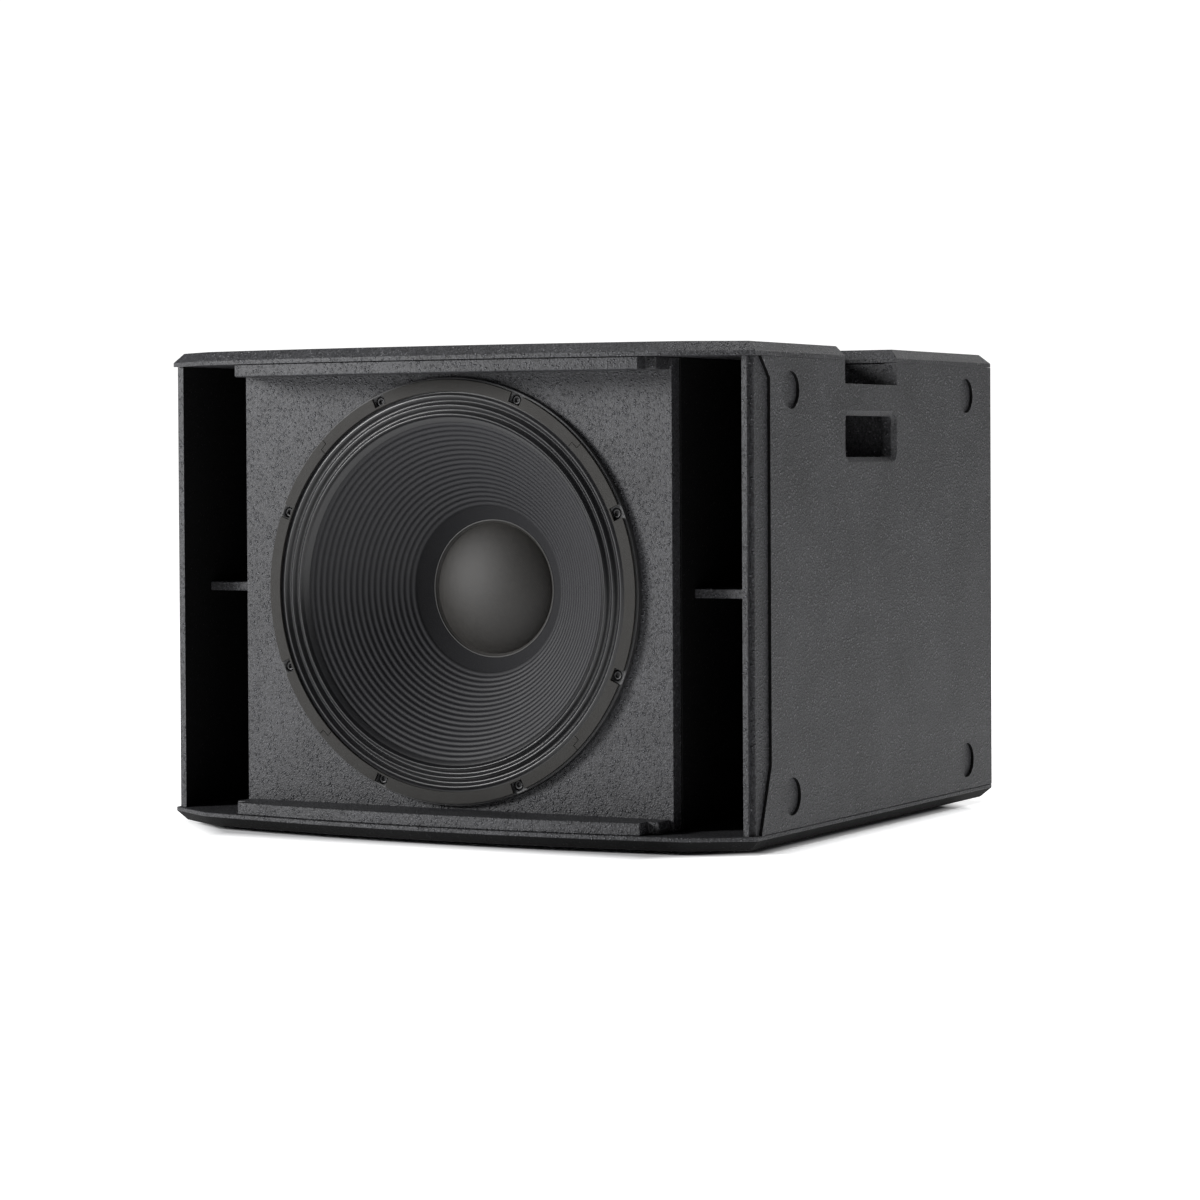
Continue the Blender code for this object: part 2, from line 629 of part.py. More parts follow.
def cone_assembly():
    """The pieces that travel together along the driver axis."""
    foot = FORMER_OUT + GAP
    neck, end = cone_depth(foot) - 0.006, RING_DEPTH + 0.030
    middle = RING_DEPTH + 0.0098 + TOP_PLATE_THICK / 2
    half_coil = 0.012
    pieces = (
        turned("cone", [(foot, cone_depth(foot)), (0.094, cone_depth(0.094)),
                        (0.140, cone_depth(0.140)), (CONE_EDGE, CONE_EDGE_DEPTH)],
               "cone_pulp", closed=False, thickness=0.0014),
        turned("dust_cap", dust_cap_profile(), "cap_cloth", closed=False, thickness=0.0010),
        turned("voice_coil_former", [(FORMER_OUT, neck), (FORMER_OUT, end),
                                     (FORMER_IN, end), (FORMER_IN, neck)], "former_film"),
        turned("voice_coil_winding", [(0.0528, middle - half_coil), (0.0528, middle + half_coil),
                                      (foot, middle + half_coil), (foot, middle - half_coil)],
               "copper_wire"))
    axis = bpy.data.objects.new("cone_axis", None)
    PARTS.objects.link(axis)
    on_driver(axis)
    for piece in pieces:
        piece.parent = axis


def spider():
    """The corrugated cloth disc that centres the voice coil."""
    inner, count = FORMER_OUT + GAP, 5
    flat_in, flat_out = inner + 0.004, SPIDER_OUT - 0.006
    profile = [(inner, SPIDER_DEPTH)]
    for i in range(count + 1):
        wave = 0.0016 * (-1) ** i * (0 < i < count)
        profile.append((flat_in + (flat_out - flat_in) * i / count, SPIDER_DEPTH + wave))
    profile.append((SPIDER_OUT, SPIDER_DEPTH))
    on_driver(turned("spider", profile, "spider_cloth", closed=False, thickness=0.0007))


def thick_ring(name, outer, inner, front, back, finish):
    on_driver(turned(name, [(outer, front), (outer, back), (inner, back), (inner, front)], finish))


def motor():
    """Top plate, ring magnet, and a back plate with a vented pole."""
    front = RING_DEPTH + 0.0098
    magnet = front + TOP_PLATE_THICK + GAP
    back = magnet + MAGNET_THICK + GAP
    end = back + BACK_PLATE_THICK
    thick_ring("magnet_top_plate", 0.100, 0.0545, front, front + TOP_PLATE_THICK, "plated_steel")
    thick_ring("magnet_ring", 0.110, 0.066, magnet, magnet + MAGNET_THICK, "ferrite")
    on_driver(turned("pole_and_back_plate", [
        (0.100, back), (0.100, end), (0.020, end), (0.020, front - 0.002),
        (0.0489, front - 0.002), (0.0489, back)], "plated_steel"))


def terminals():
    """An insulating strip on the basket, with a clamp post for each wire."""
    y = DRIVER_FRONT + TERMINAL_DEPTH
    blocks("terminal_strip", [((-0.022, y - 0.008, STRIP_Z), (0.022, y + 0.008, STRIP_Z + 0.004))],
           "socket_plastic")
    for word, side in SIDES:
        spot = (side * TERMINAL_X, y, STRIP_Z + 0.004)
        fastener(word + "_terminal_post", spot, (0, 0, 1), (0.0038, POST_HEIGHT), None, "copper_wire")


def tinsel_leads():
    """Braided leads from the strip, down through a basket window, to the back of the cone."""
    for word, side in SIDES:
        route = [(side * x, DRIVER_FRONT + depth, MIDDLE + z) for x, depth, z in (
            (0.0235, 0.1500, 0.1146), (0.0260, 0.1390, 0.1280), (0.0260, 0.1120, 0.1250),
            (0.0220, 0.1040, 0.1080), (0.0180, 0.1000, 0.0930), (0.0150, 0.0921, 0.0885))]
        wire(word + "_tinsel_lead", route, 0.0010, "copper_wire")


# ---- fasteners, connectors, wiring, feet and pole mount


def fastener(name, seat, outward, head, shank, finish, sides=10):
    """A turned head, and a shank unless it is None, each given as (radius, length)."""
    radius, height = head
    profile = [(0, -height), (radius * 0.86, -height), (radius, -height * 0.8), (radius, 0)]
    if shank:
        profile += [(shank[0], 0), (shank[0], shank[1])]
    profile.append((0, profile[-1][1]))
    made = turned(name, profile, finish, closed=False, steps=sides)
    out = Vector(outward)
    made.location = Vector(seat) + out * GAP
    made.rotation_euler = out.to_track_quat("Z", "Y").to_euler()
    return made


def plate_screw_spots():
    across, up = PLATE_HALF[0] - 0.005, PLATE_HALF[1] - 0.005
    return [(x, PLATE_Z + z) for x in (-across, across) for z in (-up, up)]


def socket_screw_spots():
    return [(side * SOCKET_X + turn * 0.0095, PLATE_Z - turn * 0.012)
            for side in (-1, 1) for turn in (-1, 1)]


def connector_plate():
    """A steel plate over the window in the rear panel, pierced for two sockets and their screws."""
    across, up = PLATE_HALF
    y = REAR_FACE + GAP
    plate = plates("connector_plate",
                   [rounded_box((-across, PLATE_Z - up), (across, PLATE_Z + up), 0.006)],
                   PLATE_THICK, front_frame(y), "black_steel")
    bodies = rods("socket_holes", [((x, y - 0.01, PLATE_Z), (x, y + 0.01, PLATE_Z))
                                   for x in (-SOCKET_X, SOCKET_X)], 0.0126)
    screws = rods("plate_screw_holes", [((x, y - 0.01, z), (x, y + 0.01, z))
                                        for x, z in plate_screw_spots() + socket_screw_spots()],
                  0.0019, sides=8)
    cut(plate, bodies, screws)


def join(target, *pieces):
    for piece in pieces:
        union = target.modifiers.new("join_" + piece.name, "BOOLEAN")
        union.operation = "UNION"
        union.solver = "EXACT"
        union.object = piece


def speaker_socket(word, side):
    """A round panel socket: a flange, an annular well round a core, and a key for the plug."""
    name = word + "_speaker_socket"
    x, y = side * SOCKET_X, SOCKET_FACE
    flange = plates(name, [rounded_box((x - 0.013, PLATE_Z - 0.0155), (x + 0.013, PLATE_Z + 0.0155), 0.003)],
                    SOCKET_FLANGE, front_frame(y), "socket_plastic")
    body = rods("body_" + name, [((x, y - SOCKET_DEEP, PLATE_Z), (x, y + 0.001, PLATE_Z))], 0.0120)
    well = rods("well_" + name, [((x, y - 0.022, PLATE_Z), (x, y + 0.01, PLATE_Z))], 0.0107)
    core = rods("core_" + name, [((x, y - 0.026, PLATE_Z), (x, y - 0.002, PLATE_Z))], 0.0050)
    key = blocks("key_" + name, [((x - 0.0016, y - 0.024, PLATE_Z + 0.0085),
                                  (x + 0.0016, y + 0.001, PLATE_Z + 0.0112))])
    holes = rods("screw_holes_" + name, [((sx, y - 0.01, z), (sx, y + 0.01, z))
                                         for sx, z in socket_screw_spots()], 0.0019, sides=8)
    join(flange, body)
    cut(flange, well, holes)
    join(flange, core, key)


def speaker_wires():
    """The two conductors from the right socket, through the window brace, to the driver terminals."""
    start = SOCKET_FACE - SOCKET_DEEP - GAP
    post_y = DRIVER_FRONT + TERMINAL_DEPTH
    post_top = STRIP_Z + 0.004 + GAP + POST_HEIGHT
    for word, side in (("red", -1), ("black", 1)):
        x, tag_x = side * TERMINAL_X, SOCKET_X + side * 0.004
        route = [(tag_x, start, PLATE_Z), (tag_x, start - 0.040, PLATE_Z),
                 (0.020 + side * 0.010, 0.200, 0.165), (x, 0.130, 0.220), (x, 0.030, 0.350),
                 (x, -0.060, 0.415), (x, -0.120, 0.424), (x, post_y, 0.418), (x, post_y, post_top + GAP)]
        wire(word + "_speaker_wire", route, 0.0018, word + "_insulation")


def feet():
    """Round rubber feet, each with a screw in a well from below."""
    for i, (x, y) in enumerate(corner_spots()):
        place = ("left" if x < 0 else "right") + ("_front" if i % 2 == 0 else "_rear")
        foot = rods("foot_" + place, [((x, y, 0), (x, y, FOOT_HEIGHT - GAP))], FOOT_RADIUS - 0.001,
                    "rubber", end_radius=FOOT_RADIUS)
        well = rods("foot_well_" + place, [((x, y, -0.01), (x, y, 0.0028))], 0.0075, sides=12)
        hole = rods("foot_hole_" + place, [((x, y, -0.01), (x, y, 0.02))], 0.0026, sides=10)
        cut(foot, well, hole)
        fastener("foot_screw_" + place, (x, y, 0.0028), (0, 0, -1), (0.0055, 0.0018),
                 (0.0022, 0.0135), "plated_steel")


def pole_screw_spots():
    inset = POLE_HALF - 0.010
    return [(x, y) for x in (-inset, inset) for y in (-inset, inset)]


def pole_mount():
    """A pole socket: a square flange let into the top panel, with a boss below it."""
    low = TOP - POLE_THICK
    flange = plates("pole_socket", [rounded_box((-POLE_HALF, -POLE_HALF), (POLE_HALF, POLE_HALF), 0.008)],
                    POLE_THICK - 0.0002, level(low), "black_steel")
    boss = rods("pole_boss", [((0, 0, low - 0.045), (0, 0, low + 0.001))], 0.019)
    bore = rods("pole_bore", [((0, 0, low - 0.040), (0, 0, TOP + 0.01))], POLE_BORE)
    holes = rods("pole_flange_holes", [((x, y, low - 0.01), (x, y, TOP + 0.01))
                                       for x, y in pole_screw_spots()], 0.0023, sides=8)
    sinks = rods("pole_sinks", [((x, y, TOP - POLE_SINK), (x, y, TOP + 0.01))
                                for x, y in pole_screw_spots()], 0.0052, sides=10)
    join(flange, boss)
    cut(flange, bore, holes, sinks)
    for i, (x, y) in enumerate(pole_screw_spots()):
        fastener("pole_screw_%d" % (i + 1), (x, y, TOP - POLE_SINK), (0, 0, 1), (0.0044, 0.0018),
                 (0.0019, 0.009), "plated_steel")


def build():
    top_panel()
    bottom_panel()
    for word, side in SIDES:
        side_panel(word + "_side_panel", side)
        handle_pocket(word + "_handle_pocket", side)
        port_parts(word, side)
        speaker_socket(word, side)
    rear_panel()
    baffle()
    window_brace()
    grille_batten("bottom_grille_batten", FLOOR + GAP)
    grille_batten("top_grille_batten", CEILING - GAP - BATTEN_HEIGHT)
    gasket_strips()
    basket()
    driver_bolts()
    surround()
    cone_assembly()
    spider()
    motor()
    terminals()
    tinsel_leads()
    connector_plate()
    speaker_wires()
    feet()
    pole_mount()


build()
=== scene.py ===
"""Looks of the stage subwoofer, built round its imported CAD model.

The boards, the connector plate, the terminal strip and the wires are copies of the CAD solids with
softer edges. The driver, sockets, feet and fasteners are rebuilt finely on the same sizes. Everything
stands in the CAD frame, in metres, and every mesh is in world coordinates, so materials can read the
distance from the driver axis.
"""

import math

import bmesh
import bpy
from mathutils import Matrix, Vector


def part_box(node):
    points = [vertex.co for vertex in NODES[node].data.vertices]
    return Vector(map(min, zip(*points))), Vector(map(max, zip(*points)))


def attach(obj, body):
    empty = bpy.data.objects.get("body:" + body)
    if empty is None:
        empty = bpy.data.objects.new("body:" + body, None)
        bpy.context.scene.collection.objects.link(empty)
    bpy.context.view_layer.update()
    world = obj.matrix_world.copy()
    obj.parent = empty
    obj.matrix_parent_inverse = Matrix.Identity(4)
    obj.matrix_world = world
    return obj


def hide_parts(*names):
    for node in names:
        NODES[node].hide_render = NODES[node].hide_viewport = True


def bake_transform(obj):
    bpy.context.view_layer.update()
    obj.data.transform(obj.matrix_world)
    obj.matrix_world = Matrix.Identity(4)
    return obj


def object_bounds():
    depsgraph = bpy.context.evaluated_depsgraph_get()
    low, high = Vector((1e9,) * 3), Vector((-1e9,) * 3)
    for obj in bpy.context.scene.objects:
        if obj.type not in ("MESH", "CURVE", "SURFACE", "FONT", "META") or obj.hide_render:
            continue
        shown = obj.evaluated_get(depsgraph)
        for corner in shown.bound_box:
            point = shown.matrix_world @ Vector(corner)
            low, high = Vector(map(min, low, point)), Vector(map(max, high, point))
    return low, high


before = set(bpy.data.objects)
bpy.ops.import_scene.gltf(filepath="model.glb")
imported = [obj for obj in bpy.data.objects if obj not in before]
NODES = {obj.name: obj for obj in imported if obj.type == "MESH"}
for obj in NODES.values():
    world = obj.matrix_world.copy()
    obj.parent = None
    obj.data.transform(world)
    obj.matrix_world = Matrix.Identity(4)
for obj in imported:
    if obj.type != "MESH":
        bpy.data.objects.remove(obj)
CAD_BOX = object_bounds()
GAP = 0.0003
STEPS = 160
SIDES = ("left", "right")
OUT_OF_SIGHT = 0.01                      # how far a cutter runs past the face it cuts

# Cabinet
PANEL_EDGE, BOARD_EDGE = 0.0012, 0.0010  # widths of the softened edges
RECESS_DEPTH = 0.0035
RECESS_MIDDLE = CAD_BOX[1].x - RECESS_DEPTH / 2

# Driver axis: depths are measured inwards from the face of the gasket
BASKET_LOW, BASKET_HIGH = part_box("driver_basket")
AXIS_Z = (BASKET_LOW.z + BASKET_HIGH.z) / 2
FACE_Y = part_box("gasket_strip_1")[0].y
DRIVER = Matrix.Translation((0, FACE_Y, AXIS_Z)) @ Matrix.Rotation(math.pi / 2, 4, "X")

# Driver sizes
BASKET_OUT = (BASKET_HIGH.x - BASKET_LOW.x) / 2
BASKET_FACE = BASKET_LOW.y - FACE_Y
SEAT_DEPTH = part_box("baffle")[0].y - FACE_Y - GAP
BOWL_TOP, BOWL_LOW = 0.2085, 0.112
BOWL_FRONT, BOWL_BACK, BASKET_WALL = 0.026, 0.128, 0.004
RING_THICK, RING_BORE, RING_LIP = 0.0095, 0.060, 0.016
RING_DEPTH = BASKET_HIGH.y - FACE_Y - RING_THICK
LEDGE_PLAY, LEDGE_DROP, INNER_LEAD, FLANGE_STEP = 0.001, 0.003, 0.002, 0.003
SURROUND_SEAT, CASTING_FILLET = 0.0013, 0.0009
WINDOW_HALF_ANGLE, WINDOW_CORNER = math.radians(12.5), 0.006
WINDOW_IN, WINDOW_OUT, WINDOW_FRONT, WINDOW_BACK = BOWL_LOW + 0.004, BOWL_TOP - 0.0125, 0.020, 0.124
GASKET_IN, GASKET_OUT, GASKET_THICK = 0.2152, 0.2280, 0.003
STRIP_STEP, STRIP_SLACK = math.radians(1.1), math.radians(0.05)
BAY_HALF_ANGLE, BAY_FLOOR = math.radians(1.85), GASKET_IN + 0.0022
BOLT_CIRCLE, BOLT_COUNT, BOLT_SEAT = 0.2215, 8, 0.0083
BOLT_HEAD, BOLT_HEAD_HIGH, BOLT_SHANK, BOLT_LONG = 0.0047, 0.0038, 0.0029, 0.026
BOLT_RIM, BOLT_RIM_HIGH, BOLT_TIP = 0.0007, 0.0006, 0.0005
BOLT_KEY, BOLT_KEY_FLOOR = 0.0026, 0.0014
BOLT_KEY_TURN = 17                       # degrees between one bolt's hexagon and the next one's
BOLT_SEAT_RADIUS, BOLT_BORE, BOLT_BORE_DEPTH = 0.0062, 0.0033, 0.03
CONE_EDGE, CONE_EDGE_DEPTH, CONE_SLOPE, CONE_THICK = 0.1865, 0.0075, 0.83, 0.0014
RIB_START, RIB_PITCH, RIB_COUNT, RIB_HEIGHT = 0.0905, 0.0051, 18, 0.0010
RIB_LEAN = (0.6, 0.8)                    # the ribs' direction, about square to the cone's slope
CAP_RADIUS, CAP_RISE, CAP_THICK = 0.0752, 0.026, 0.001
DOME_RADIUS, DOME_ROUNDING, CAP_LIFT = 0.0718, 1.64, 0.0008
GLUE_OFFSET, GLUE_WIDE, GLUE_HIGH = 0.0001, 0.0008, 0.0006
FORMER_OUT = 0.0508
SURROUND_OUT, SURROUND_THICK, SURROUND_RIM = 0.2162, 0.0008, 0.0018
SURROUND_LAP, SURROUND_LIFT, SURROUND_SUNK, FIRST_CREST = 0.004, 0.0017, 0.0001, 0.004
ROLL_PITCH, ROLL_COUNT, CREST_DEPTH, VALLEY_DEPTH = 0.0098, 3, 0.0018, 0.0062
SPIDER_DEPTH, SPIDER_OUT, SPIDER_THICK = 0.134, 0.105, 0.0007
SPIDER_RIM, SPIDER_HEM, SPIDER_WAVE, SPIDER_WAVES = 0.006, 0.004, 0.0016, 5
BACK_PLATE_RADIUS, VENT_RADIUS, POLE_RADIUS = 0.100, 0.020, 0.0489
GROOVE_COUNT, GROOVE_WIDE, GROOVE_SLOPE = 5, 0.0014, 0.0004
FIRST_GROOVE, GROOVE_STEP, POST_CHAMFER = 0.10, 0.16, 0.94     # shares of the post's height
GROOVE_WAIST, POST_TIP = 0.88, 0.86      # shares of the post's radius

# Feet, pole mount and connectors
FOOT_TAPER, FOOT_WELL, FOOT_BORE, FOOT_SEAT, FOOT_FILLET = 0.0012, 0.0075, 0.0026, 0.0028, 0.0007
FOOT_WELL_MOUTH, FOOT_MOUTH_HIGH = 0.0085, 0.0012
POLE_FLANGE_THICK, POLE_FLANGE_CORNER, BOSS_RADIUS = 0.0038, 0.008, 0.019
BOSS_OVERLAP, BOSS_FILLET = 0.001, 0.0008
POLE_BORE, POLE_FLOOR = 0.010, 0.005
POLE_MOUTH, POLE_MOUTH_DEPTH, POLE_MOUTH_LIFT = 0.0135, 0.0015, 0.002
POLE_SCREW_OFFSET, POLE_SCREW_BORE, POLE_SINK, POLE_SINK_DEPTH = 0.040, 0.0023, 0.0052, 0.0024
SOCKET_HALF, SOCKET_CORNER, SOCKET_THICK = (0.013, 0.0155), 0.003, 0.0022
BARREL_RADIUS, BARREL_START, WELL_RADIUS, WELL_DEPTH = 0.0120, 0.0010, 0.0107, 0.022
WELL_CORE, CORE_DEPTH, WELL_FILLET = 0.0050, 0.002, 0.0003
KEY_HALF, KEY_LOW, KEY_HIGH, KEY_DEPTH = 0.0016, 0.0085, 0.0112, 0.0225
SOCKET_SCREW_BORE = 0.0019
SOCKET_SCREW_SPOTS = ((-0.0095, 0.012), (0.0095, -0.012))
PLATE_SCREW_INSET = 0.005
# Screws: head radius and height, shank radius and, for all but the feet's, shank length
FOOT_SCREW = (0.0055, 0.0018, 0.0022)
POLE_SCREW = (0.0044, 0.0018, 0.0019, 0.009)
SOCKET_SCREW = (0.0028, 0.0014, 0.0015, 0.006)
PLATE_SCREW = (0.0034, 0.0018, 0.0017, 0.011)
THREADS, THREAD_ROOT, THREAD_RISE = 6, 0.80, 0.3     # shares of the shank's radius and of a turn
HEAD_EDGE, CROSS_FLOOR = 0.35, 0.40      # shares of the head's height
CROSS_ARM, CROSS_WIDTH = 0.52, 0.13      # shares of the head's radius


# ---- meshes


SMOOTH_ANGLE = math.radians(35)
SHARPEST = 30
CORNER_SHARE = 0.45                      # a rounded corner takes at most this much of an edge


def piece_from(bm, name, finish=None):
    mesh = bpy.data.meshes.new(name)
    bm.to_mesh(mesh)
    bm.free()
    mesh.shade_smooth()
    mesh.set_sharp_from_angle(angle=SMOOTH_ANGLE)
    piece = bpy.data.objects.new(name, mesh)
    bpy.context.scene.collection.objects.link(piece)
    if finish:
        mesh.materials.append(FINISHES[finish])
    return piece


def rounded(points, radius, closed=True, pieces=3):
    """The same outline with its corners rounded."""
    found = []
    count = len(points)
    for i, point in enumerate(points):
        if not closed and i in (0, count - 1):
            found.append(point)
            continue
        corner = Vector(point)
        before, after = (Vector(points[(i + step) % count]) - corner for step in (-1, 1))
        start = corner + before.normalized() * min(radius, before.length * CORNER_SHARE)
        end = corner + after.normalized() * min(radius, after.length * CORNER_SHARE)
        for j in range(pieces + 1):
            t = j / pieces
            found.append(tuple(start * (1 - t) ** 2 + corner * 2 * t * (1 - t) + end * t * t))
    return found


def shell(line, thickness):
    """A closed outline from a line of (radius, depth) points, thickened away from the front."""
    back = []
    for i, point in enumerate(line):
        before, after = Vector(line[max(i - 1, 0)]), Vector(line[min(i + 1, len(line) - 1)])
        along = (after - before).normalized()
        back.append((point[0] - along.y * thickness, point[1] + along.x * thickness))
    return list(line) + back[::-1]


def turned(name, profile, finish, place=DRIVER, steps=STEPS, closed=True):
    """Turn a profile of (radius, depth) points about the place's own Z axis."""
    bm = bmesh.new()
    points = [bm.verts.new((radius, 0, -depth)) for radius, depth in profile]
    edges = [bm.edges.new(pair) for pair in zip(points, points[1:] + points[:1] * closed)]
    bmesh.ops.spin(bm, geom=points + edges, cent=(0, 0, 0), axis=(0, 0, 1), dvec=(0, 0, 0),
                   angle=2 * math.pi, steps=steps, use_merge=True, use_duplicate=False)
    bmesh.ops.remove_doubles(bm, verts=bm.verts, dist=1e-7)
    bmesh.ops.recalc_face_normals(bm, faces=bm.faces)
    bm.transform(place)
    if place.determinant() < 0:
        bmesh.ops.reverse_faces(bm, faces=bm.faces)
    return piece_from(bm, name, finish)


def prisms(name, outlines, low, high, finish, place):
    """Flat plates with the given outlines, from low to high along the place's own Z axis."""
    bm = bmesh.new()
    for outline in outlines:
        rings = [[bm.verts.new((x, y, z)) for x, y in outline] for z in (low, high)]
        bm.faces.new(rings[0][::-1])
        bm.faces.new(rings[1])
        for i in range(len(outline)):
            j = (i + 1) % len(outline)
            bm.faces.new((rings[0][i], rings[0][j], rings[1][j], rings[1][i]))
    bmesh.ops.recalc_face_normals(bm, faces=bm.faces)
    bm.transform(place)
    return piece_from(bm, name, finish)


def rounded_box(half_x, half_y, radius, pieces=6):
    """The outline of a rectangle with round corners."""
    outline = []
    for quarter, (sign_x, sign_y) in enumerate(((1, 1), (-1, 1), (-1, -1), (1, -1))):
        for i in range(pieces + 1):
            angle = math.pi / 2 * (quarter + i / pieces)
            outline.append((sign_x * (half_x - radius) + radius * math.cos(angle),
                            sign_y * (half_y - radius) + radius * math.sin(angle)))
    return outline


def circle(radius, middle=(0, 0), pieces=32, start=0.0):
    return [(middle[0] + radius * math.cos(start + 2 * math.pi * i / pieces),
             middle[1] + radius * math.sin(start + 2 * math.pi * i / pieces)) for i in range(pieces)]


def bake(piece):
    """Apply a piece's modifiers."""
    bpy.context.view_layer.update()
    seen = piece.evaluated_get(bpy.context.evaluated_depsgraph_get())
    mesh = bpy.data.meshes.new_from_object(seen)
    piece.modifiers.clear()
    piece.data = mesh
    return piece


def combine(piece, operation, *others):
    """Add the other solids to a piece, or cut them out of it."""
    for other in others:
        boolean = piece.modifiers.new(operation.lower(), "BOOLEAN")
        boolean.operation = operation
        boolean.solver = "EXACT"
        boolean.object = other
    bake(piece)
    for other in others:
        bpy.data.objects.remove(other, do_unlink=True)
    return piece


def soft_edges(piece, width, sharpest=SHARPEST, shortest=0.004):
    """Round the edges sharper than an angle in degrees, apart from those of small holes."""
    bm = bmesh.new()
    bm.from_mesh(piece.data)
    weight = bm.edges.layers.float.new("bevel_weight_edge")
    for edge in bm.edges:
        sharp = len(edge.link_faces) == 2 and edge.calc_face_angle() > math.radians(sharpest)
        edge[weight] = float(sharp and edge.calc_length() > shortest)
    bm.to_mesh(piece.data)
    bm.free()
    bevel = piece.modifiers.new("edges", "BEVEL")
    bevel.limit_method = "WEIGHT"
    bevel.width = width
    bevel.segments = 2
    normals = piece.modifiers.new("normals", "WEIGHTED_NORMAL")
    normals.weight = 100
    normals.keep_sharp = True
    return piece


def cad_copy(node, finish):
    """The CAD solid again, with its flat faces made whole."""
    bm = bmesh.new()
    bm.from_mesh(NODES[node].data)
    bmesh.ops.remove_doubles(bm, verts=bm.verts, dist=1e-6)
    bmesh.ops.dissolve_limit(bm, angle_limit=math.radians(0.4), verts=bm.verts, edges=bm.edges)
    return piece_from(bm, node + "_look", finish)


def stands_for(piece, node, body="cabinet"):
    """Put a piece in its CAD node's place, and on its body unless it bends between two."""
    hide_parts(node)
    if body:
        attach(piece, body)
    return piece


def flex(piece):
    """Move a ring's points out to their distance from the driver axis, bake its transform, and put the
    points back.
    """
    shape = [vert.co.copy() for vert in piece.data.vertices]
    for vert in piece.data.vertices:
        vert.co = (math.hypot(vert.co.x, vert.co.z - AXIS_Z), 0, 0)
    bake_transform(piece)
    for vert, place in zip(piece.data.vertices, shape):
        vert.co = place


# ---- materials


def add_node(tree, kind, inputs=None, **settings):
    """A shader node with its settings, and with values or links for its inputs."""
    made = tree.nodes.new("ShaderNode" + kind)
    for name, value in settings.items():
        setattr(made, name, value)
    for name, value in (inputs or {}).items():
        if isinstance(value, bpy.types.NodeSocket):
            tree.links.new(value, made.inputs[name])
        else:
            made.inputs[name].default_value = value
    return made


def ramp(tree, factor, low, high, start=0.0, end=1.0):
    """A factor turned from one range to another."""
    return add_node(tree, "MapRange", {"Value": factor, "From Min": start, "From Max": end,
                                       "To Min": low, "To Max": high}).outputs["Result"]


def maths(tree, operation, first, second=0.0):
    return add_node(tree, "Math", {0: first, 1: second}, operation=operation).outputs[0]


def blend_of(tree, *parts):
    """The sum of values, each times its share."""
    total = None
    for value, share in parts[::-1]:
        part = maths(tree, "MULTIPLY", value, share)
        total = part if total is None else maths(tree, "ADD", part, total)
    return total


def mixed(tree, factor, dark, light):
    mix = add_node(tree, "Mix", {0: factor, 6: (*dark, 1), 7: (*light, 1)}, data_type="RGBA")
    return mix.outputs[2]


def noise(tree, where, scale, detail=2.0, roughness=0.5):
    return add_node(tree, "TexNoise", {"Vector": where, "Scale": scale, "Detail": detail,
                                       "Roughness": roughness}).outputs["Fac"]


def cells(tree, where, scale):
    """Distance from the nearest of many scattered points, in parts of their spacing."""
    return add_node(tree, "TexVoronoi", {"Vector": where, "Scale": scale}).outputs["Distance"]


def finish_nodes(name, metallic=0.0, **constants):
    made = bpy.data.materials.new(name)
    made.use_nodes = True
    tree = made.node_tree
    shader = tree.nodes["Principled BSDF"]
    shader.inputs["Metallic"].default_value = metallic
    for key, value in constants.items():
        shader.inputs[key.replace("_", " ")].default_value = value
    where = add_node(tree, "TexCoord").outputs["Object"]
    FINISHES[name] = made
    return tree, shader, where


def set_surface(tree, shader, colour, roughness, height, bump_distance):
    bump = add_node(tree, "Bump", {"Height": height, "Distance": bump_distance, "Strength": 1.0})
    tree.links.new(colour, shader.inputs["Base Color"])
    tree.links.new(roughness, shader.inputs["Roughness"])
    tree.links.new(bump.outputs["Normal"], shader.inputs["Normal"])


# The paint's features, in how many there are along a metre
DROPLETS, SPECKS, CLUSTERS, PITS, GRIT, PATCHES = 260, 520, 150, 330, 900, 14
FINE_SHARE = 0.22                        # height of the specks and of the grit against a droplet's


def paint(name, dark, light, highlight_colour, rough, relief, **constants):
    """Sprayed paint: scattered rounded droplets over fine grit, with darker pits; the tops of the
    droplets and specks are painted paler, a painted highlight.
    """
    tree, shader, where = finish_nodes(name, **constants)
    spread = ramp(tree, noise(tree, where, CLUSTERS, 1.0), 0.15, 1.0, 0.38, 0.62)
    droplets = ramp(tree, cells(tree, where, DROPLETS), 1.0, 0.0, 0.05, 0.42)
    large = maths(tree, "MULTIPLY", droplets, spread)
    small = ramp(tree, cells(tree, where, SPECKS), 1.0, 0.0, 0.05, 0.55)
    grit = noise(tree, where, GRIT, 1.0)
    patches = noise(tree, where, PATCHES, 3.0)
    pits = ramp(tree, noise(tree, where, PITS, 1.0), 0.3, 1.0, 0.38, 0.48)
    # painted highlight: the tops of the specks are paler in colour
    tone = blend_of(tree, (patches, 0.5), (small, 0.5))
    base = mixed(tree, maths(tree, "MULTIPLY", tone, pits), dark, light)
    # painted highlight: the droplet tops take the paler third colour
    tops = ramp(tree, large, 0.0, 1.0, 0.40, 0.75)
    colour = add_node(tree, "Mix", {0: tops, 6: base, 7: (*highlight_colour, 1)}, data_type="RGBA").outputs[2]
    fine = blend_of(tree, (small, FINE_SHARE), (grit, FINE_SHARE))
    set_surface(tree, shader, colour, ramp(tree, tops, *rough), maths(tree, "ADD", large, fine), relief)


def grainy(name, dark, light, rough, scale, bump, metallic=0.0, **constants):
    """A surface with a fine even grain, such as moulded plastic, rubber or cast metal."""
    tree, shader, where = finish_nodes(name, metallic, **constants)
    fine = noise(tree, where, scale, 3.0, 0.6)
    broad = noise(tree, where, scale / 25, 2.0)
    tone = blend_of(tree, (fine, 0.45), (broad, 0.55))
    set_surface(tree, shader, mixed(tree, tone, dark, light), ramp(tree, broad, *rough), fine, bump)


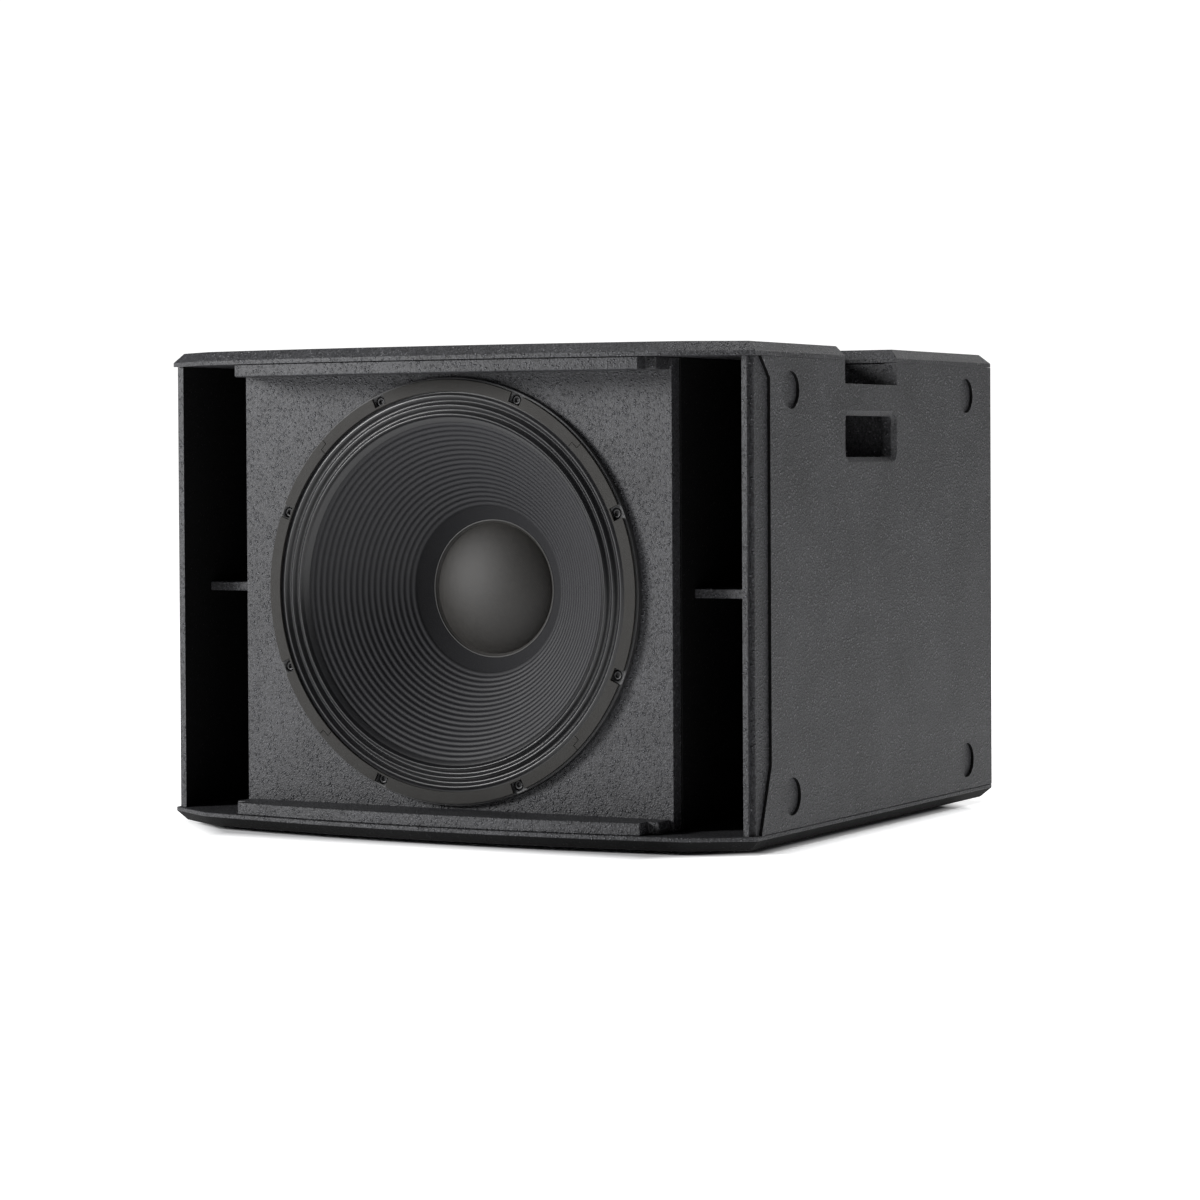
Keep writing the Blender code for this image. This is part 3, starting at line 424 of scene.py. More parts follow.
def polar(tree, where):
    """Distance from the driver axis, and angle about it."""
    split = add_node(tree, "SeparateXYZ", {0: where})
    across = split.outputs["X"]
    up = maths(tree, "SUBTRACT", split.outputs["Z"], AXIS_Z)
    radius = maths(tree, "SQRT", maths(tree, "ADD", maths(tree, "MULTIPLY", across, across),
                                       maths(tree, "MULTIPLY", up, up)))
    return radius, maths(tree, "ARCTAN2", up, across)


def cloth(name, dark, light, rough, pitch, bump):
    """A plain weave in the X-Z plane, with slubs."""
    tree, shader, where = finish_nodes(name)
    split = add_node(tree, "SeparateXYZ", {0: where})
    turn = 2 * math.pi / pitch
    warp = maths(tree, "SINE", maths(tree, "MULTIPLY", split.outputs["X"], turn))
    weft = maths(tree, "SINE", maths(tree, "MULTIPLY", split.outputs["Z"], turn))
    slub = noise(tree, where, 0.35 / pitch, 3.0, 0.6)
    weave = maths(tree, "MULTIPLY", warp, weft)
    height = maths(tree, "ADD", maths(tree, "MULTIPLY", weave, 0.35), slub)
    tone = maths(tree, "ADD", maths(tree, "MULTIPLY", weave, 0.12), slub)
    set_surface(tree, shader, mixed(tree, tone, dark, light), ramp(tree, slub, *rough), height, bump)


def paper(name, dark, light, rough, bump, **constants):
    """Pressed pulp: short fibres and a mottled tone, with painted shade darkening the plain band at the
    neck.
    """
    tree, shader, where = finish_nodes(name, **constants)
    radius, angle = polar(tree, where)
    turn = maths(tree, "MULTIPLY", angle, 0.05)
    around = add_node(tree, "CombineXYZ", {0: radius, 1: turn}).outputs[0]
    fibre = noise(tree, around, 900, 3.0, 0.7)
    fleck = noise(tree, where, 650, 2.0, 0.6)
    broad = noise(tree, where, 30, 3.0)
    tone = blend_of(tree, (fibre, 0.35), (fleck, 0.35), (broad, 0.3))
    height = maths(tree, "ADD", fleck, maths(tree, "MULTIPLY", fibre, 0.5))
    # painted shade: the tone is halved in the plain band at the neck, deep in the cone
    neck = ramp(tree, radius, 0.5, 1.0, RIB_START, RIB_START + RIB_PITCH)
    shade = mixed(tree, maths(tree, "MULTIPLY", tone, neck), dark, light)
    dull = ramp(tree, neck, 0.30, 0.0, 0.5, 1.0)
    set_surface(tree, shader, shade, maths(tree, "ADD", ramp(tree, broad, *rough), dull), height, bump)


def lathed_metal(name, dark, light, rough):
    """Plated steel with faint turning marks about the driver axis."""
    tree, shader, where = finish_nodes(name, 1.0)
    radius = polar(tree, where)[0]
    marks = add_node(tree, "TexNoise", {"W": radius, "Scale": 2600.0, "Detail": 3.0},
                     noise_dimensions="1D").outputs["Fac"]
    cloud = noise(tree, where, 25, 3.0)
    tone = blend_of(tree, (marks, 0.4), (cloud, 0.6))
    set_surface(tree, shader, mixed(tree, tone, dark, light), ramp(tree, cloud, *rough), marks, 0.00006)


def banded(name, dark, light, rough, pitch, bump):
    """Fine turns of wire, side by side along Y."""
    tree, shader, where = finish_nodes(name, 1.0)
    split = add_node(tree, "SeparateXYZ", {0: where})
    wave = maths(tree, "SINE", maths(tree, "MULTIPLY", split.outputs["Y"], 2 * math.pi / pitch))
    tone = ramp(tree, maths(tree, "ADD", wave, noise(tree, where, 60)), 0.0, 1.0, -1.0, 2.0)
    set_surface(tree, shader, mixed(tree, tone, dark, light), ramp(tree, tone, *rough), wave, bump)


def glowing_floor():
    """A pale studio floor that glows as if lit from all round, with a painted contact shadow: no glow
    close under the cabinet.
    """
    grainy("stage_floor", (0.80, 0.81, 0.82), (0.86, 0.86, 0.87), (0.75, 0.85), 60, 0.0001,
           Emission_Color=(1, 1, 1, 1))
    tree = FINISHES["stage_floor"].node_tree
    shader = tree.nodes["Principled BSDF"]
    split = add_node(tree, "SeparateXYZ", {0: add_node(tree, "TexCoord").outputs["Object"]})
    beside = maths(tree, "SUBTRACT", maths(tree, "ABSOLUTE", split.outputs["X"]), CAD_BOX[1].x)
    before = maths(tree, "SUBTRACT", maths(tree, "ABSOLUTE", split.outputs["Y"]), CAD_BOX[1].y)
    past_corner = maths(tree, "ADD", maths(tree, "ADD", beside, before), 0.10)
    away = maths(tree, "MAXIMUM", maths(tree, "MAXIMUM", beside, before), past_corner)
    # painted contact shadow: the glow fades out within a few centimetres of the cabinet's footprint, its
    # corners cut
    near, far = ramp(tree, away, 0.0, 0.85, -0.02, 0.03), ramp(tree, away, 0.0, 0.3, 0.4, 2.4)
    tree.links.new(maths(tree, "ADD", near, far), shader.inputs["Emission Strength"])


FINISHES = {}


def make_finishes():
    # the third colour of each paint is the painted highlight on its droplet tops
    paint("cabinet_paint", (0.010, 0.010, 0.011), (0.088, 0.089, 0.097), (0.160, 0.162, 0.174),
          (0.50, 0.22), 0.0016, Specular_IOR_Level=0.36)
    # near-black, blacker than real paint: black inside paint darkened into painted shade in the ports,
    # and plain painted shade on the recess walls and the bottom bevels
    paint("inside_paint", (0.002, 0.002, 0.002), (0.004, 0.004, 0.005), (0.007, 0.007, 0.007),
          (0.80, 0.60), 0.0006, Specular_IOR_Level=0.15)
    grainy("gasket_board", (0.010, 0.010, 0.009), (0.024, 0.022, 0.020), (0.60, 0.78), 1300, 0.0003,
           Specular_IOR_Level=0.3)
    grainy("cast_aluminium", (0.014, 0.014, 0.015), (0.030, 0.030, 0.031), (0.42, 0.58), 1500, 0.0003)
    cloth("treated_cloth", (0.005, 0.005, 0.006), (0.012, 0.012, 0.013), (0.30, 0.38), 0.0013, 0.00002)
    paper("cone_pulp", (0.006, 0.006, 0.007), (0.015, 0.015, 0.018), (0.50, 0.62), 0.0002,
          Specular_IOR_Level=0.35)
    cloth("cap_cloth", (0.007, 0.0065, 0.006), (0.022, 0.0198, 0.017), (0.54, 0.64), 0.0016, 0.0002)
    grainy("glue", (0.008, 0.008, 0.008), (0.020, 0.019, 0.018), (0.50, 0.60), 900, 0.0001)
    cloth("spider_cloth", (0.240, 0.170, 0.070), (0.420, 0.320, 0.150), (0.60, 0.85), 0.0009, 0.00025)
    grainy("former_film", (0.230, 0.140, 0.060), (0.340, 0.230, 0.110), (0.30, 0.45), 900, 0.00005)
    banded("copper_winding", (0.480, 0.200, 0.100), (0.820, 0.420, 0.240), (0.28, 0.42), 0.0005, 0.0001)
    grainy("copper_wire", (0.500, 0.230, 0.120), (0.780, 0.420, 0.240), (0.30, 0.45), 2500, 0.0002, 1.0)
    lathed_metal("plated_steel", (0.34, 0.34, 0.36), (0.55, 0.55, 0.56), (0.30, 0.48))
    grainy("black_steel", (0.016, 0.016, 0.017), (0.036, 0.036, 0.037), (0.34, 0.52), 1600, 0.00012, 0.5)
    grainy("ferrite", (0.042, 0.041, 0.040), (0.082, 0.080, 0.078), (0.60, 0.80), 1100, 0.0003)
    grainy("socket_plastic", (0.014, 0.014, 0.016), (0.026, 0.026, 0.028), (0.40, 0.55), 1800, 0.0001)
    grainy("rubber", (0.014, 0.014, 0.014), (0.034, 0.033, 0.032), (0.78, 0.92), 1200, 0.0002)
    grainy("red_insulation", (0.300, 0.012, 0.010), (0.450, 0.030, 0.025), (0.34, 0.48), 900, 0.00008)
    grainy("black_insulation", (0.010, 0.010, 0.011), (0.022, 0.022, 0.023), (0.34, 0.48), 900, 0.00008)
    glowing_floor()


# ---- cabinet


PAINTED_BOARDS = ("top_panel", "bottom_panel", "left_side_panel", "right_side_panel", "rear_panel",
                  "baffle", "left_port_brace", "right_port_brace", "bottom_grille_batten",
                  "top_grille_batten")
BARE_BOARDS = ("left_port_wall", "right_port_wall", "left_handle_pocket", "right_handle_pocket",
               "window_brace")
PORT_SIDES = {"left_side_panel": (1, 0, 0), "right_side_panel": (-1, 0, 0)}
DOWN = (0, 0, -1)


def blacken(piece, facing, least=0.9, most=1.1):
    """Give the faces turned this much towards a port or the floor the near-black: black inside paint
    darkened into painted shade in a port, and painted shade on faces towards the floor.
    """
    piece.data.materials.append(FINISHES["inside_paint"])
    for face in piece.data.polygons:
        if least < face.normal.dot(Vector(facing)) < most:
            face.material_index = 1


def shade_recesses(piece):
    """Paint the walls of the shallow recesses in a side near-black: painted shade."""
    for face in piece.data.polygons:
        if abs(abs(face.center.x) - RECESS_MIDDLE) < 0.0003 and abs(face.normal.x) < 0.5:
            face.material_index = 1


def line_pocket(piece, middle):
    """Give the faces that look into the handle's hollow the outside paint."""
    piece.data.materials.append(FINISHES["cabinet_paint"])
    for face in piece.data.polygons:
        if face.normal.dot(middle - face.center) > 0:
            face.material_index = 1


def boards():
    # the bare boards take the near-black inside paint, darkened into painted shade where they show in
    # the ports
    for node in PAINTED_BOARDS + BARE_BOARDS:
        finish = "cabinet_paint" if node in PAINTED_BOARDS else "inside_paint"
        piece = cad_copy(node, finish)
        if node in PORT_SIDES:
            # faces into the port: black inside paint and painted shade; recess walls: painted shade
            blacken(piece, PORT_SIDES[node])
            shade_recesses(piece)
        # painted shade: the bottom bevels, which face the floor, are painted near-black
        if node == "bottom_panel":
            blacken(piece, DOWN, 0.3, 0.9)
        if "pocket" in node:
            line_pocket(piece, box_middle(node))
        edge = PANEL_EDGE if node in ("top_panel", "bottom_panel") else BOARD_EDGE
        stands_for(soft_edges(piece, edge), node)


# ---- driver


def polar_points(radius, start, end, pieces):
    return [(radius, start + (end - start) * i / pieces) for i in range(pieces + 1)]


def flat(polar_outline):
    return [(radius * math.cos(angle), radius * math.sin(angle)) for radius, angle in polar_outline]


def bolt_angles():
    return [2 * math.pi * (i + 0.5) / BOLT_COUNT for i in range(BOLT_COUNT)]


def bolt_spots():
    return flat([(BOLT_CIRCLE, angle) for angle in bolt_angles()])


def gasket_outline(middle):
    """One of four strips: a bay round each of two bolts, and stepped ends that interlock."""
    joint = (GASKET_IN + GASKET_OUT) / 2
    start, end = middle - math.pi / 4 + STRIP_SLACK, middle + math.pi / 4 - STRIP_SLACK
    stops = [start - STRIP_STEP]
    for bolt in (middle - math.pi / 8, middle + math.pi / 8):
        stops += [bolt - BAY_HALF_ANGLE, bolt + BAY_HALF_ANGLE]
    stops.append(end - STRIP_STEP)
    polar_outline = [(joint + GAP / 2, start + STRIP_STEP), (joint + GAP / 2, start - STRIP_STEP)]
    for pair, pieces in ((0, 10), (2, 20), (4, 10)):
        polar_outline += polar_points(GASKET_OUT, stops[pair], stops[pair + 1], pieces)
        if pair < 4:
            polar_outline += polar_points(BAY_FLOOR, stops[pair + 1], stops[pair + 2], 2)
    polar_outline += [(joint - GAP / 2, end - STRIP_STEP), (joint - GAP / 2, end + STRIP_STEP)]
    polar_outline += polar_points(GASKET_IN, end + STRIP_STEP, start + STRIP_STEP, 48)
    return flat(polar_outline)


def gasket():
    for i in range(4):
        node = "gasket_strip_%d" % (i + 1)
        piece = prisms(node + "_look", [gasket_outline(i * math.pi / 2)], -GASKET_THICK, 0,
                       "gasket_board", DRIVER)
        soft_edges(piece, 0.00035, shortest=0.001, sharpest=20)
        stands_for(piece, node)


def basket_profile():
    """Half of the frame's section, from the flange's rim round to the surround's seat."""
    recess = BASKET_FACE + SURROUND_SEAT
    ledge = SPIDER_DEPTH + SPIDER_THICK + GAP
    ledge_in, ledge_out = SPIDER_OUT - SPIDER_RIM, SPIDER_OUT + LEDGE_PLAY
    low = RING_DEPTH + RING_THICK
    ring_in, inner_top = BOWL_LOW - RING_LIP, BOWL_TOP - BASKET_WALL
    profile = [
        (BASKET_OUT, BASKET_FACE), (BASKET_OUT, SEAT_DEPTH), (BOWL_TOP, SEAT_DEPTH),
        (BOWL_TOP, BOWL_FRONT), (BOWL_LOW, BOWL_BACK), (BOWL_LOW, low),
        (RING_BORE, low), (RING_BORE, RING_DEPTH), (ring_in, RING_DEPTH),
        (ring_in, ledge + LEDGE_DROP), (ledge_in, ledge), (ledge_out, ledge),
        (ledge_out, BOWL_BACK - INNER_LEAD), (inner_top, BOWL_FRONT - INNER_LEAD),
        (inner_top, SEAT_DEPTH - FLANGE_STEP),
        (SURROUND_OUT - SURROUND_RIM, recess), (SURROUND_OUT + GAP, recess),
        (SURROUND_OUT + GAP, BASKET_FACE)]
    return rounded(profile, CASTING_FILLET)


def basket_windows():
    """Outlines of the openings between the arms."""
    windows = []
    for i in range(BOLT_COUNT):
        middle = 2 * math.pi * i / BOLT_COUNT
        start, end = middle - WINDOW_HALF_ANGLE, middle + WINDOW_HALF_ANGLE
        outer = polar_points(WINDOW_OUT, start, end, 6)
        inner = polar_points(WINDOW_IN, end, start, 6)
        windows.append(rounded(flat(outer + inner), WINDOW_CORNER))
    return windows


def basket():
    """A cast frame: front flange, eight arms, spider ledge and the ring that carries the magnet."""
    piece = turned("driver_basket_look", basket_profile(), "cast_aluminium")
    seats = [circle(BOLT_SEAT_RADIUS, spot) for spot in bolt_spots()]
    bores = [circle(BOLT_BORE, spot, 16) for spot in bolt_spots()]
    cutters = [prisms("windows", basket_windows(), -WINDOW_BACK, -WINDOW_FRONT, None, DRIVER),
               prisms("seats", seats, -BOLT_SEAT, OUT_OF_SIGHT, None, DRIVER),
               prisms("holes", bores, -BOLT_BORE_DEPTH, 0, None, DRIVER)]
    combine(piece, "DIFFERENCE", *cutters)
    stands_for(piece, "driver_basket")


def driver_bolts():
    """Socket-head bolts with a chamfered rim and a hexagon hole."""
    for i, (x, z) in enumerate(bolt_spots()):
        node = "driver_bolt_%d" % (i + 1)
        place = DRIVER @ Matrix.Translation((x, z, GAP - BOLT_SEAT))
        profile = [(0, -BOLT_HEAD_HIGH), (BOLT_HEAD - BOLT_RIM, -BOLT_HEAD_HIGH),
                   (BOLT_HEAD, BOLT_RIM_HIGH - BOLT_HEAD_HIGH), (BOLT_HEAD, 0),
                   (BOLT_SHANK, 0), (BOLT_SHANK, BOLT_LONG - BOLT_TIP),
                   (BOLT_SHANK - BOLT_TIP, BOLT_LONG), (0, BOLT_LONG)]
        piece = turned(node + "_look", profile, "black_steel", place, 32, closed=False)
        hexagon = circle(BOLT_KEY, pieces=6, start=math.radians(BOLT_KEY_TURN * i))
        combine(piece, "DIFFERENCE",
                prisms("key", [hexagon], BOLT_KEY_FLOOR, OUT_OF_SIGHT, None, place))
        stands_for(piece, node)


def cone_depth(radius):
    """How deep the cone's front lies at a radius."""
    return CONE_EDGE_DEPTH + (CONE_EDGE - radius) * CONE_SLOPE


def cone():
    """Pressed pulp with concentric ribs between a plain band at the neck and one at the edge."""
    foot = FORMER_OUT + GAP
    rib_end = RIB_START + RIB_COUNT * RIB_PITCH
    line = [(foot, cone_depth(foot)), (CAP_RADIUS, cone_depth(CAP_RADIUS))]
    per_rib = 6
    for i in range(RIB_COUNT * per_rib + 1):
        radius = RIB_START + RIB_PITCH * i / per_rib
        lift = RIB_HEIGHT * (0.5 - 0.5 * math.cos(2 * math.pi * i / per_rib))
        line.append((radius - lift * RIB_LEAN[0], cone_depth(radius) - lift * RIB_LEAN[1]))
    line += [((rib_end + CONE_EDGE) / 2, cone_depth((rib_end + CONE_EDGE) / 2)),
             (CONE_EDGE, CONE_EDGE_DEPTH)]
    piece = turned("cone_look", shell(line, CONE_THICK), "cone_pulp", steps=192)
    stands_for(piece, "cone", "cone_assembly")


def dust_cap():
    """A pressed dome of cloth with a narrow skirt, glued flat on the cone."""
    rim_depth = cone_depth(CAP_RADIUS) - CAP_LIFT
    foot_depth = cone_depth(DOME_RADIUS) - CAP_LIFT
    rise = foot_depth - rim_depth + CAP_RISE
    steps = 28
    outer = []
    for i in range(steps + 1):
        angle = math.pi / 2 * i / steps
        outer.append((DOME_RADIUS * math.sin(angle),
                      foot_depth - rise * max(math.cos(angle), 0) ** DOME_ROUNDING))
    outer.append((CAP_RADIUS, rim_depth))
    shrink = 1 - CAP_THICK / CAP_RADIUS
    inner = [(radius * shrink, depth + CAP_THICK) for radius, depth in outer]
    piece = turned("dust_cap_look", outer + inner[::-1], "cap_cloth", closed=False)
    stands_for(piece, "dust_cap", "cone_assembly")
    bead = [(CAP_RADIUS + GLUE_OFFSET + GLUE_WIDE * x, rim_depth + GLUE_OFFSET + GLUE_HIGH * y)
            for x, y in circle(1, pieces=10)]
    glue = turned("dust_cap_glue", bead, "glue")
    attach(glue, "cone_assembly")


def surround():
    """Three rolls of treated cloth, clamped outside and glued to the edge of the cone."""
    rest = BASKET_FACE + SURROUND_SUNK
    glued = CONE_EDGE - SURROUND_LAP
    turns = [(CONE_EDGE, CONE_EDGE_DEPTH - SURROUND_LIFT)]
    for i in range(ROLL_COUNT):
        crest = CONE_EDGE + FIRST_CREST + i * ROLL_PITCH
        turns += [(crest, CREST_DEPTH), (crest + ROLL_PITCH / 2, VALLEY_DEPTH)]
    turns[-1] = (SURROUND_OUT - SURROUND_RIM, rest)
    line = [(glued, cone_depth(glued) - SURROUND_LIFT)]
    pieces = 8
    for (r0, d0), (r1, d1) in zip(turns, turns[1:]):
        for i in range(pieces):
            share = 0.5 - 0.5 * math.cos(math.pi * i / pieces)
            line.append((r0 + (r1 - r0) * i / pieces, d0 + (d1 - d0) * share))
    line += [turns[-1], (SURROUND_OUT, rest)]
    piece = turned("surround_look", shell(line, SURROUND_THICK), "treated_cloth", steps=192)
    stands_for(piece, "surround", None)
    flex(piece)


def spider():
    """The corrugated cloth disc that centres the voice coil."""
    inner, steps = FORMER_OUT + GAP, 8 * SPIDER_WAVES
    flat_in, flat_out = inner + SPIDER_HEM, SPIDER_OUT - SPIDER_RIM
    line = [(inner, SPIDER_DEPTH)]
    for i in range(steps + 1):
        share = i / steps
        swing = SPIDER_WAVE * math.sin(math.pi * SPIDER_WAVES * share)
        line.append((flat_in + (flat_out - flat_in) * share, SPIDER_DEPTH + swing))
    line.append((SPIDER_OUT, SPIDER_DEPTH))
    piece = turned("spider_look", shell(line, SPIDER_THICK), "spider_cloth", steps=96)
    stands_for(piece, "spider", None)
    flex(piece)


def ring(node, finish, body, fillet, steps=96):
    """A plain turned ring on its CAD node's own box."""
    low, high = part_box(node)
    outer = (high.x - low.x) / 2
    inner = min(math.hypot(vert.co.x, vert.co.z - AXIS_Z) for vert in NODES[node].data.vertices)
    profile = [(outer, low.y - FACE_Y), (outer, high.y - FACE_Y), (inner, high.y - FACE_Y),
               (inner, low.y - FACE_Y)]
    piece = turned(node + "_look", rounded(profile, fillet), finish, steps=steps)
    stands_for(piece, node, body)


def motor():
    """The magnet between its plates, with the voice coil round the pole."""
    ring("magnet_top_plate", "plated_steel", "cabinet", 0.0012)
    ring("magnet_ring", "ferrite", "cabinet", 0.0022)
    ring("voice_coil_former", "former_film", "cone_assembly", 0.0001)
    ring("voice_coil_winding", "copper_winding", "cone_assembly", 0.0004)
    low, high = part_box("pole_and_back_plate")
    end, front = high.y - FACE_Y, low.y - FACE_Y
    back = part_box("magnet_ring")[1].y - FACE_Y + GAP
    profile = [(BACK_PLATE_RADIUS, back), (BACK_PLATE_RADIUS, end), (VENT_RADIUS, end),
               (VENT_RADIUS, front), (POLE_RADIUS, front), (POLE_RADIUS, back)]
    piece = turned("pole_and_back_plate_look", rounded(profile, 0.0012), "plated_steel", steps=96)
    stands_for(piece, "pole_and_back_plate")


def terminal_post(node):
    """A clamp post with grooves round its grip."""
    low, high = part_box(node)
    place = Matrix.Translation(((low.x + high.x) / 2, (low.y + high.y) / 2, low.z))
    tall, radius = high.z - low.z, (high.x - low.x) / 2
    grip = [(0, 0), (radius, 0)]
    waist = radius * GROOVE_WAIST
    for i in range(GROOVE_COUNT):
        low_edge = tall * (FIRST_GROOVE + GROOVE_STEP * i)
        high_edge = low_edge + GROOVE_WIDE
        grip += [(radius, low_edge), (waist, low_edge + GROOVE_SLOPE),
                 (waist, high_edge - GROOVE_SLOPE), (radius, high_edge)]
    grip += [(radius, tall * POST_CHAMFER), (radius * POST_TIP, tall), (0, tall)]
    profile = [(r, -level) for r, level in grip][::-1]
    piece = turned(node + "_look", profile, "copper_wire", place, 32, closed=False)
    stands_for(piece, node)


def terminals():
    strip = soft_edges(cad_copy("terminal_strip", "socket_plastic"), 0.0006, shortest=0.002)
    stands_for(strip, "terminal_strip")
    for side in SIDES:
        terminal_post(side + "_terminal_post")


def round_wire(node, finish):
    """The CAD wire again, with a rounder section."""
    piece = cad_copy(node, finish)
    subdivision = piece.modifiers.new("round", "SUBSURF")
    subdivision.levels = subdivision.render_levels = 1
    return bake(piece)


def leads():
    for side in SIDES:
        node = side + "_tinsel_lead"
        piece = round_wire(node, "copper_wire")
        stands_for(piece, node, None)
        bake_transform(piece)
    for colour in ("red", "black"):
        node, finish = colour + "_speaker_wire", colour + "_insulation"
        stands_for(round_wire(node, finish), node)


# ---- fasteners, connectors, feet and pole mount


def screw(name, spot, outward, head_radius, head_height, shank_radius, shank_length):
    """A pan-head screw with a cross recess."""
    place = Matrix.Translation(spot) @ Vector(outward).to_track_quat("Z", "Y").to_matrix().to_4x4()
    dome = [(head_radius * math.sin(a), -head_height * (HEAD_EDGE + (1 - HEAD_EDGE) * math.cos(a)))
            for a in (math.pi / 2 * i / 6 for i in range(7))]
    root, pitch = shank_radius * THREAD_ROOT, shank_length / THREADS
    thread = []
    for i in range(THREADS):
        level = pitch * (i + 0.5)
        thread += [(root, level), (shank_radius, level + pitch * THREAD_RISE)]
    profile = dome + [(head_radius, 0), (root, 0)] + thread + [(0, shank_length)]
    piece = turned(name, profile, "plated_steel", place, 24, closed=False)
    arm, width = head_radius * CROSS_ARM, head_radius * CROSS_WIDTH
    cross = [(arm, -width), (arm, width), (width, width), (width, arm), (-width, arm), (-width, width),
             (-arm, width), (-arm, -width), (-width, -width), (-width, -arm), (width, -arm),
             (width, -width)]
    recess = prisms("recess", [cross], head_height * CROSS_FLOOR, head_height * 2, None, place)
    combine(piece, "DIFFERENCE", recess)
    return piece


def box_middle(node):
    low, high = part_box(node)
    return (low + high) / 2


def foot(node):
    """A round rubber foot with a well for its screw."""
    low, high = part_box(node)
    middle, radius = box_middle(node), (high.x - low.x) / 2
    place = Matrix.Translation((middle.x, middle.y, 0))
    profile = [(radius, -high.z), (radius - FOOT_TAPER, 0), (FOOT_WELL_MOUTH, 0),
               (FOOT_WELL, -FOOT_MOUTH_HIGH), (FOOT_WELL, -FOOT_SEAT), (FOOT_BORE, -FOOT_SEAT),
               (FOOT_BORE, -high.z)]
    piece = turned(node + "_look", rounded(profile, FOOT_FILLET), "rubber", place, 64)
    stands_for(piece, node)


def feet():
    for side in SIDES:
        for end in ("front", "rear"):
            corner = "%s_%s" % (side, end)
            foot("foot_" + corner)
            node = "foot_screw_" + corner
            middle, top, seat = box_middle("foot_" + corner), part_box(node)[1].z, FOOT_SEAT - GAP
            made = screw(node + "_look", (middle.x, middle.y, seat), DOWN, *FOOT_SCREW, top - seat)
            stands_for(made, node)


def pole_boss(flange_low, low, level):
    start = -flange_low - BOSS_OVERLAP
    profile = [(0, start), (BOSS_RADIUS, start), (BOSS_RADIUS, -low), (0, -low)]
    return turned("boss", rounded(profile, BOSS_FILLET, closed=False), None, level, 48, closed=False)


def pole_bore(top, low, level):
    start, end = -top - POLE_MOUTH_LIFT, -low - POLE_FLOOR
    profile = [(0, start), (POLE_MOUTH, start), (POLE_BORE, -top + POLE_MOUTH_DEPTH), (POLE_BORE, end),
               (0, end)]
    return turned("bore", profile, None, level, 64, closed=False)


def pole_mount():
    """A pole socket: a square flange let into the top panel, with a boss below it."""
    low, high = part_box("pole_socket")
    half, top, flange_low = high.x, high.z, high.z - POLE_FLANGE_THICK
    past_top, sink_floor, level = top + OUT_OF_SIGHT, top - POLE_SINK_DEPTH, Matrix.Identity(4)
    outline = rounded_box(half, half, POLE_FLANGE_CORNER, pieces=8)
    flange = prisms("pole_socket_look", [outline], flange_low, top, "black_steel", level)
    combine(flange, "UNION", pole_boss(flange_low, low.z, level))
    spots = [(x, y) for x in (-POLE_SCREW_OFFSET, POLE_SCREW_OFFSET)
             for y in (-POLE_SCREW_OFFSET, POLE_SCREW_OFFSET)]
    bore = pole_bore(top, low.z, level)
    holes = prisms("holes", [circle(POLE_SCREW_BORE, spot, 16) for spot in spots],
                   flange_low - OUT_OF_SIGHT, past_top, None, level)
    sinks = prisms("sinks", [circle(POLE_SINK, spot, 24) for spot in spots], sink_floor, past_top, None,
                   level)
    combine(flange, "DIFFERENCE", bore, holes, sinks)
    soft_edges(flange, 0.0005, shortest=0.002)
    stands_for(flange, "pole_socket")
    for i, (x, y) in enumerate(spots):
        node = "pole_screw_%d" % (i + 1)
        made = screw(node + "_look", (x, y, sink_floor + GAP), (0, 0, 1), *POLE_SCREW)
        stands_for(made, node)


def socket_well(back):
    profile = [(0, -OUT_OF_SIGHT), (WELL_RADIUS, -OUT_OF_SIGHT), (WELL_RADIUS, WELL_DEPTH),
               (WELL_CORE, WELL_DEPTH), (WELL_CORE, CORE_DEPTH), (0, CORE_DEPTH)]
    return turned("well", rounded(profile, WELL_FILLET, closed=False), None, back, 64, closed=False)


def speaker_socket(side, middle_z):
    """A round locking socket: a screwed flange, a barrel behind it, and a keyed well round a core."""
    node = side + "_speaker_socket"
    low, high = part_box(node)
    x, deep = (low.x + high.x) / 2, high.y - low.y
    back = Matrix.Translation((x, high.y, middle_z)) @ Matrix.Rotation(-math.pi / 2, 4, "X")
    flange = prisms(node + "_look", [rounded_box(*SOCKET_HALF, SOCKET_CORNER)], -SOCKET_THICK, 0,
                    "socket_plastic", back)
    profile = [(0, BARREL_START), (BARREL_RADIUS, BARREL_START), (BARREL_RADIUS, deep), (0, deep)]
    combine(flange, "UNION", turned("barrel", profile, None, back, 64, closed=False))
    bores = [circle(SOCKET_SCREW_BORE, (-dx, dz), 16) for dx, dz in SOCKET_SCREW_SPOTS]
    holes = prisms("holes", bores, -OUT_OF_SIGHT, OUT_OF_SIGHT, None, back)
    combine(flange, "DIFFERENCE", socket_well(back), holes)
    outline = [(-KEY_HALF, KEY_LOW), (KEY_HALF, KEY_LOW), (KEY_HALF, KEY_HIGH), (-KEY_HALF, KEY_HIGH)]
    combine(flange, "UNION", prisms("key", [outline], -KEY_DEPTH, -GAP, None, back))
    soft_edges(flange, 0.0003, shortest=0.002)
    stands_for(flange, node)
    for number, (dx, dz) in enumerate(SOCKET_SCREW_SPOTS, 1):
        made = screw("%s_socket_screw_%d" % (side, number), (x + dx, high.y + GAP, middle_z + dz),
                     (0, 1, 0), *SOCKET_SCREW)
        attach(made, "cabinet")


def connectors():
    plate = soft_edges(cad_copy("connector_plate", "black_steel"), 0.0004, shortest=0.003)
    stands_for(plate, "connector_plate")
    low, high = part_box("connector_plate")
    for side in SIDES:
        speaker_socket(side, (low.z + high.z) / 2)
    corners = [(x, z) for x in (low.x + PLATE_SCREW_INSET, high.x - PLATE_SCREW_INSET)
               for z in (low.z + PLATE_SCREW_INSET, high.z - PLATE_SCREW_INSET)]
    for number, (x, z) in enumerate(corners, 1):
        made = screw("plate_screw_%d" % number, (x, high.y + GAP, z), (0, 1, 0), *PLATE_SCREW)
        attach(made, "cabinet")


# ---- studio


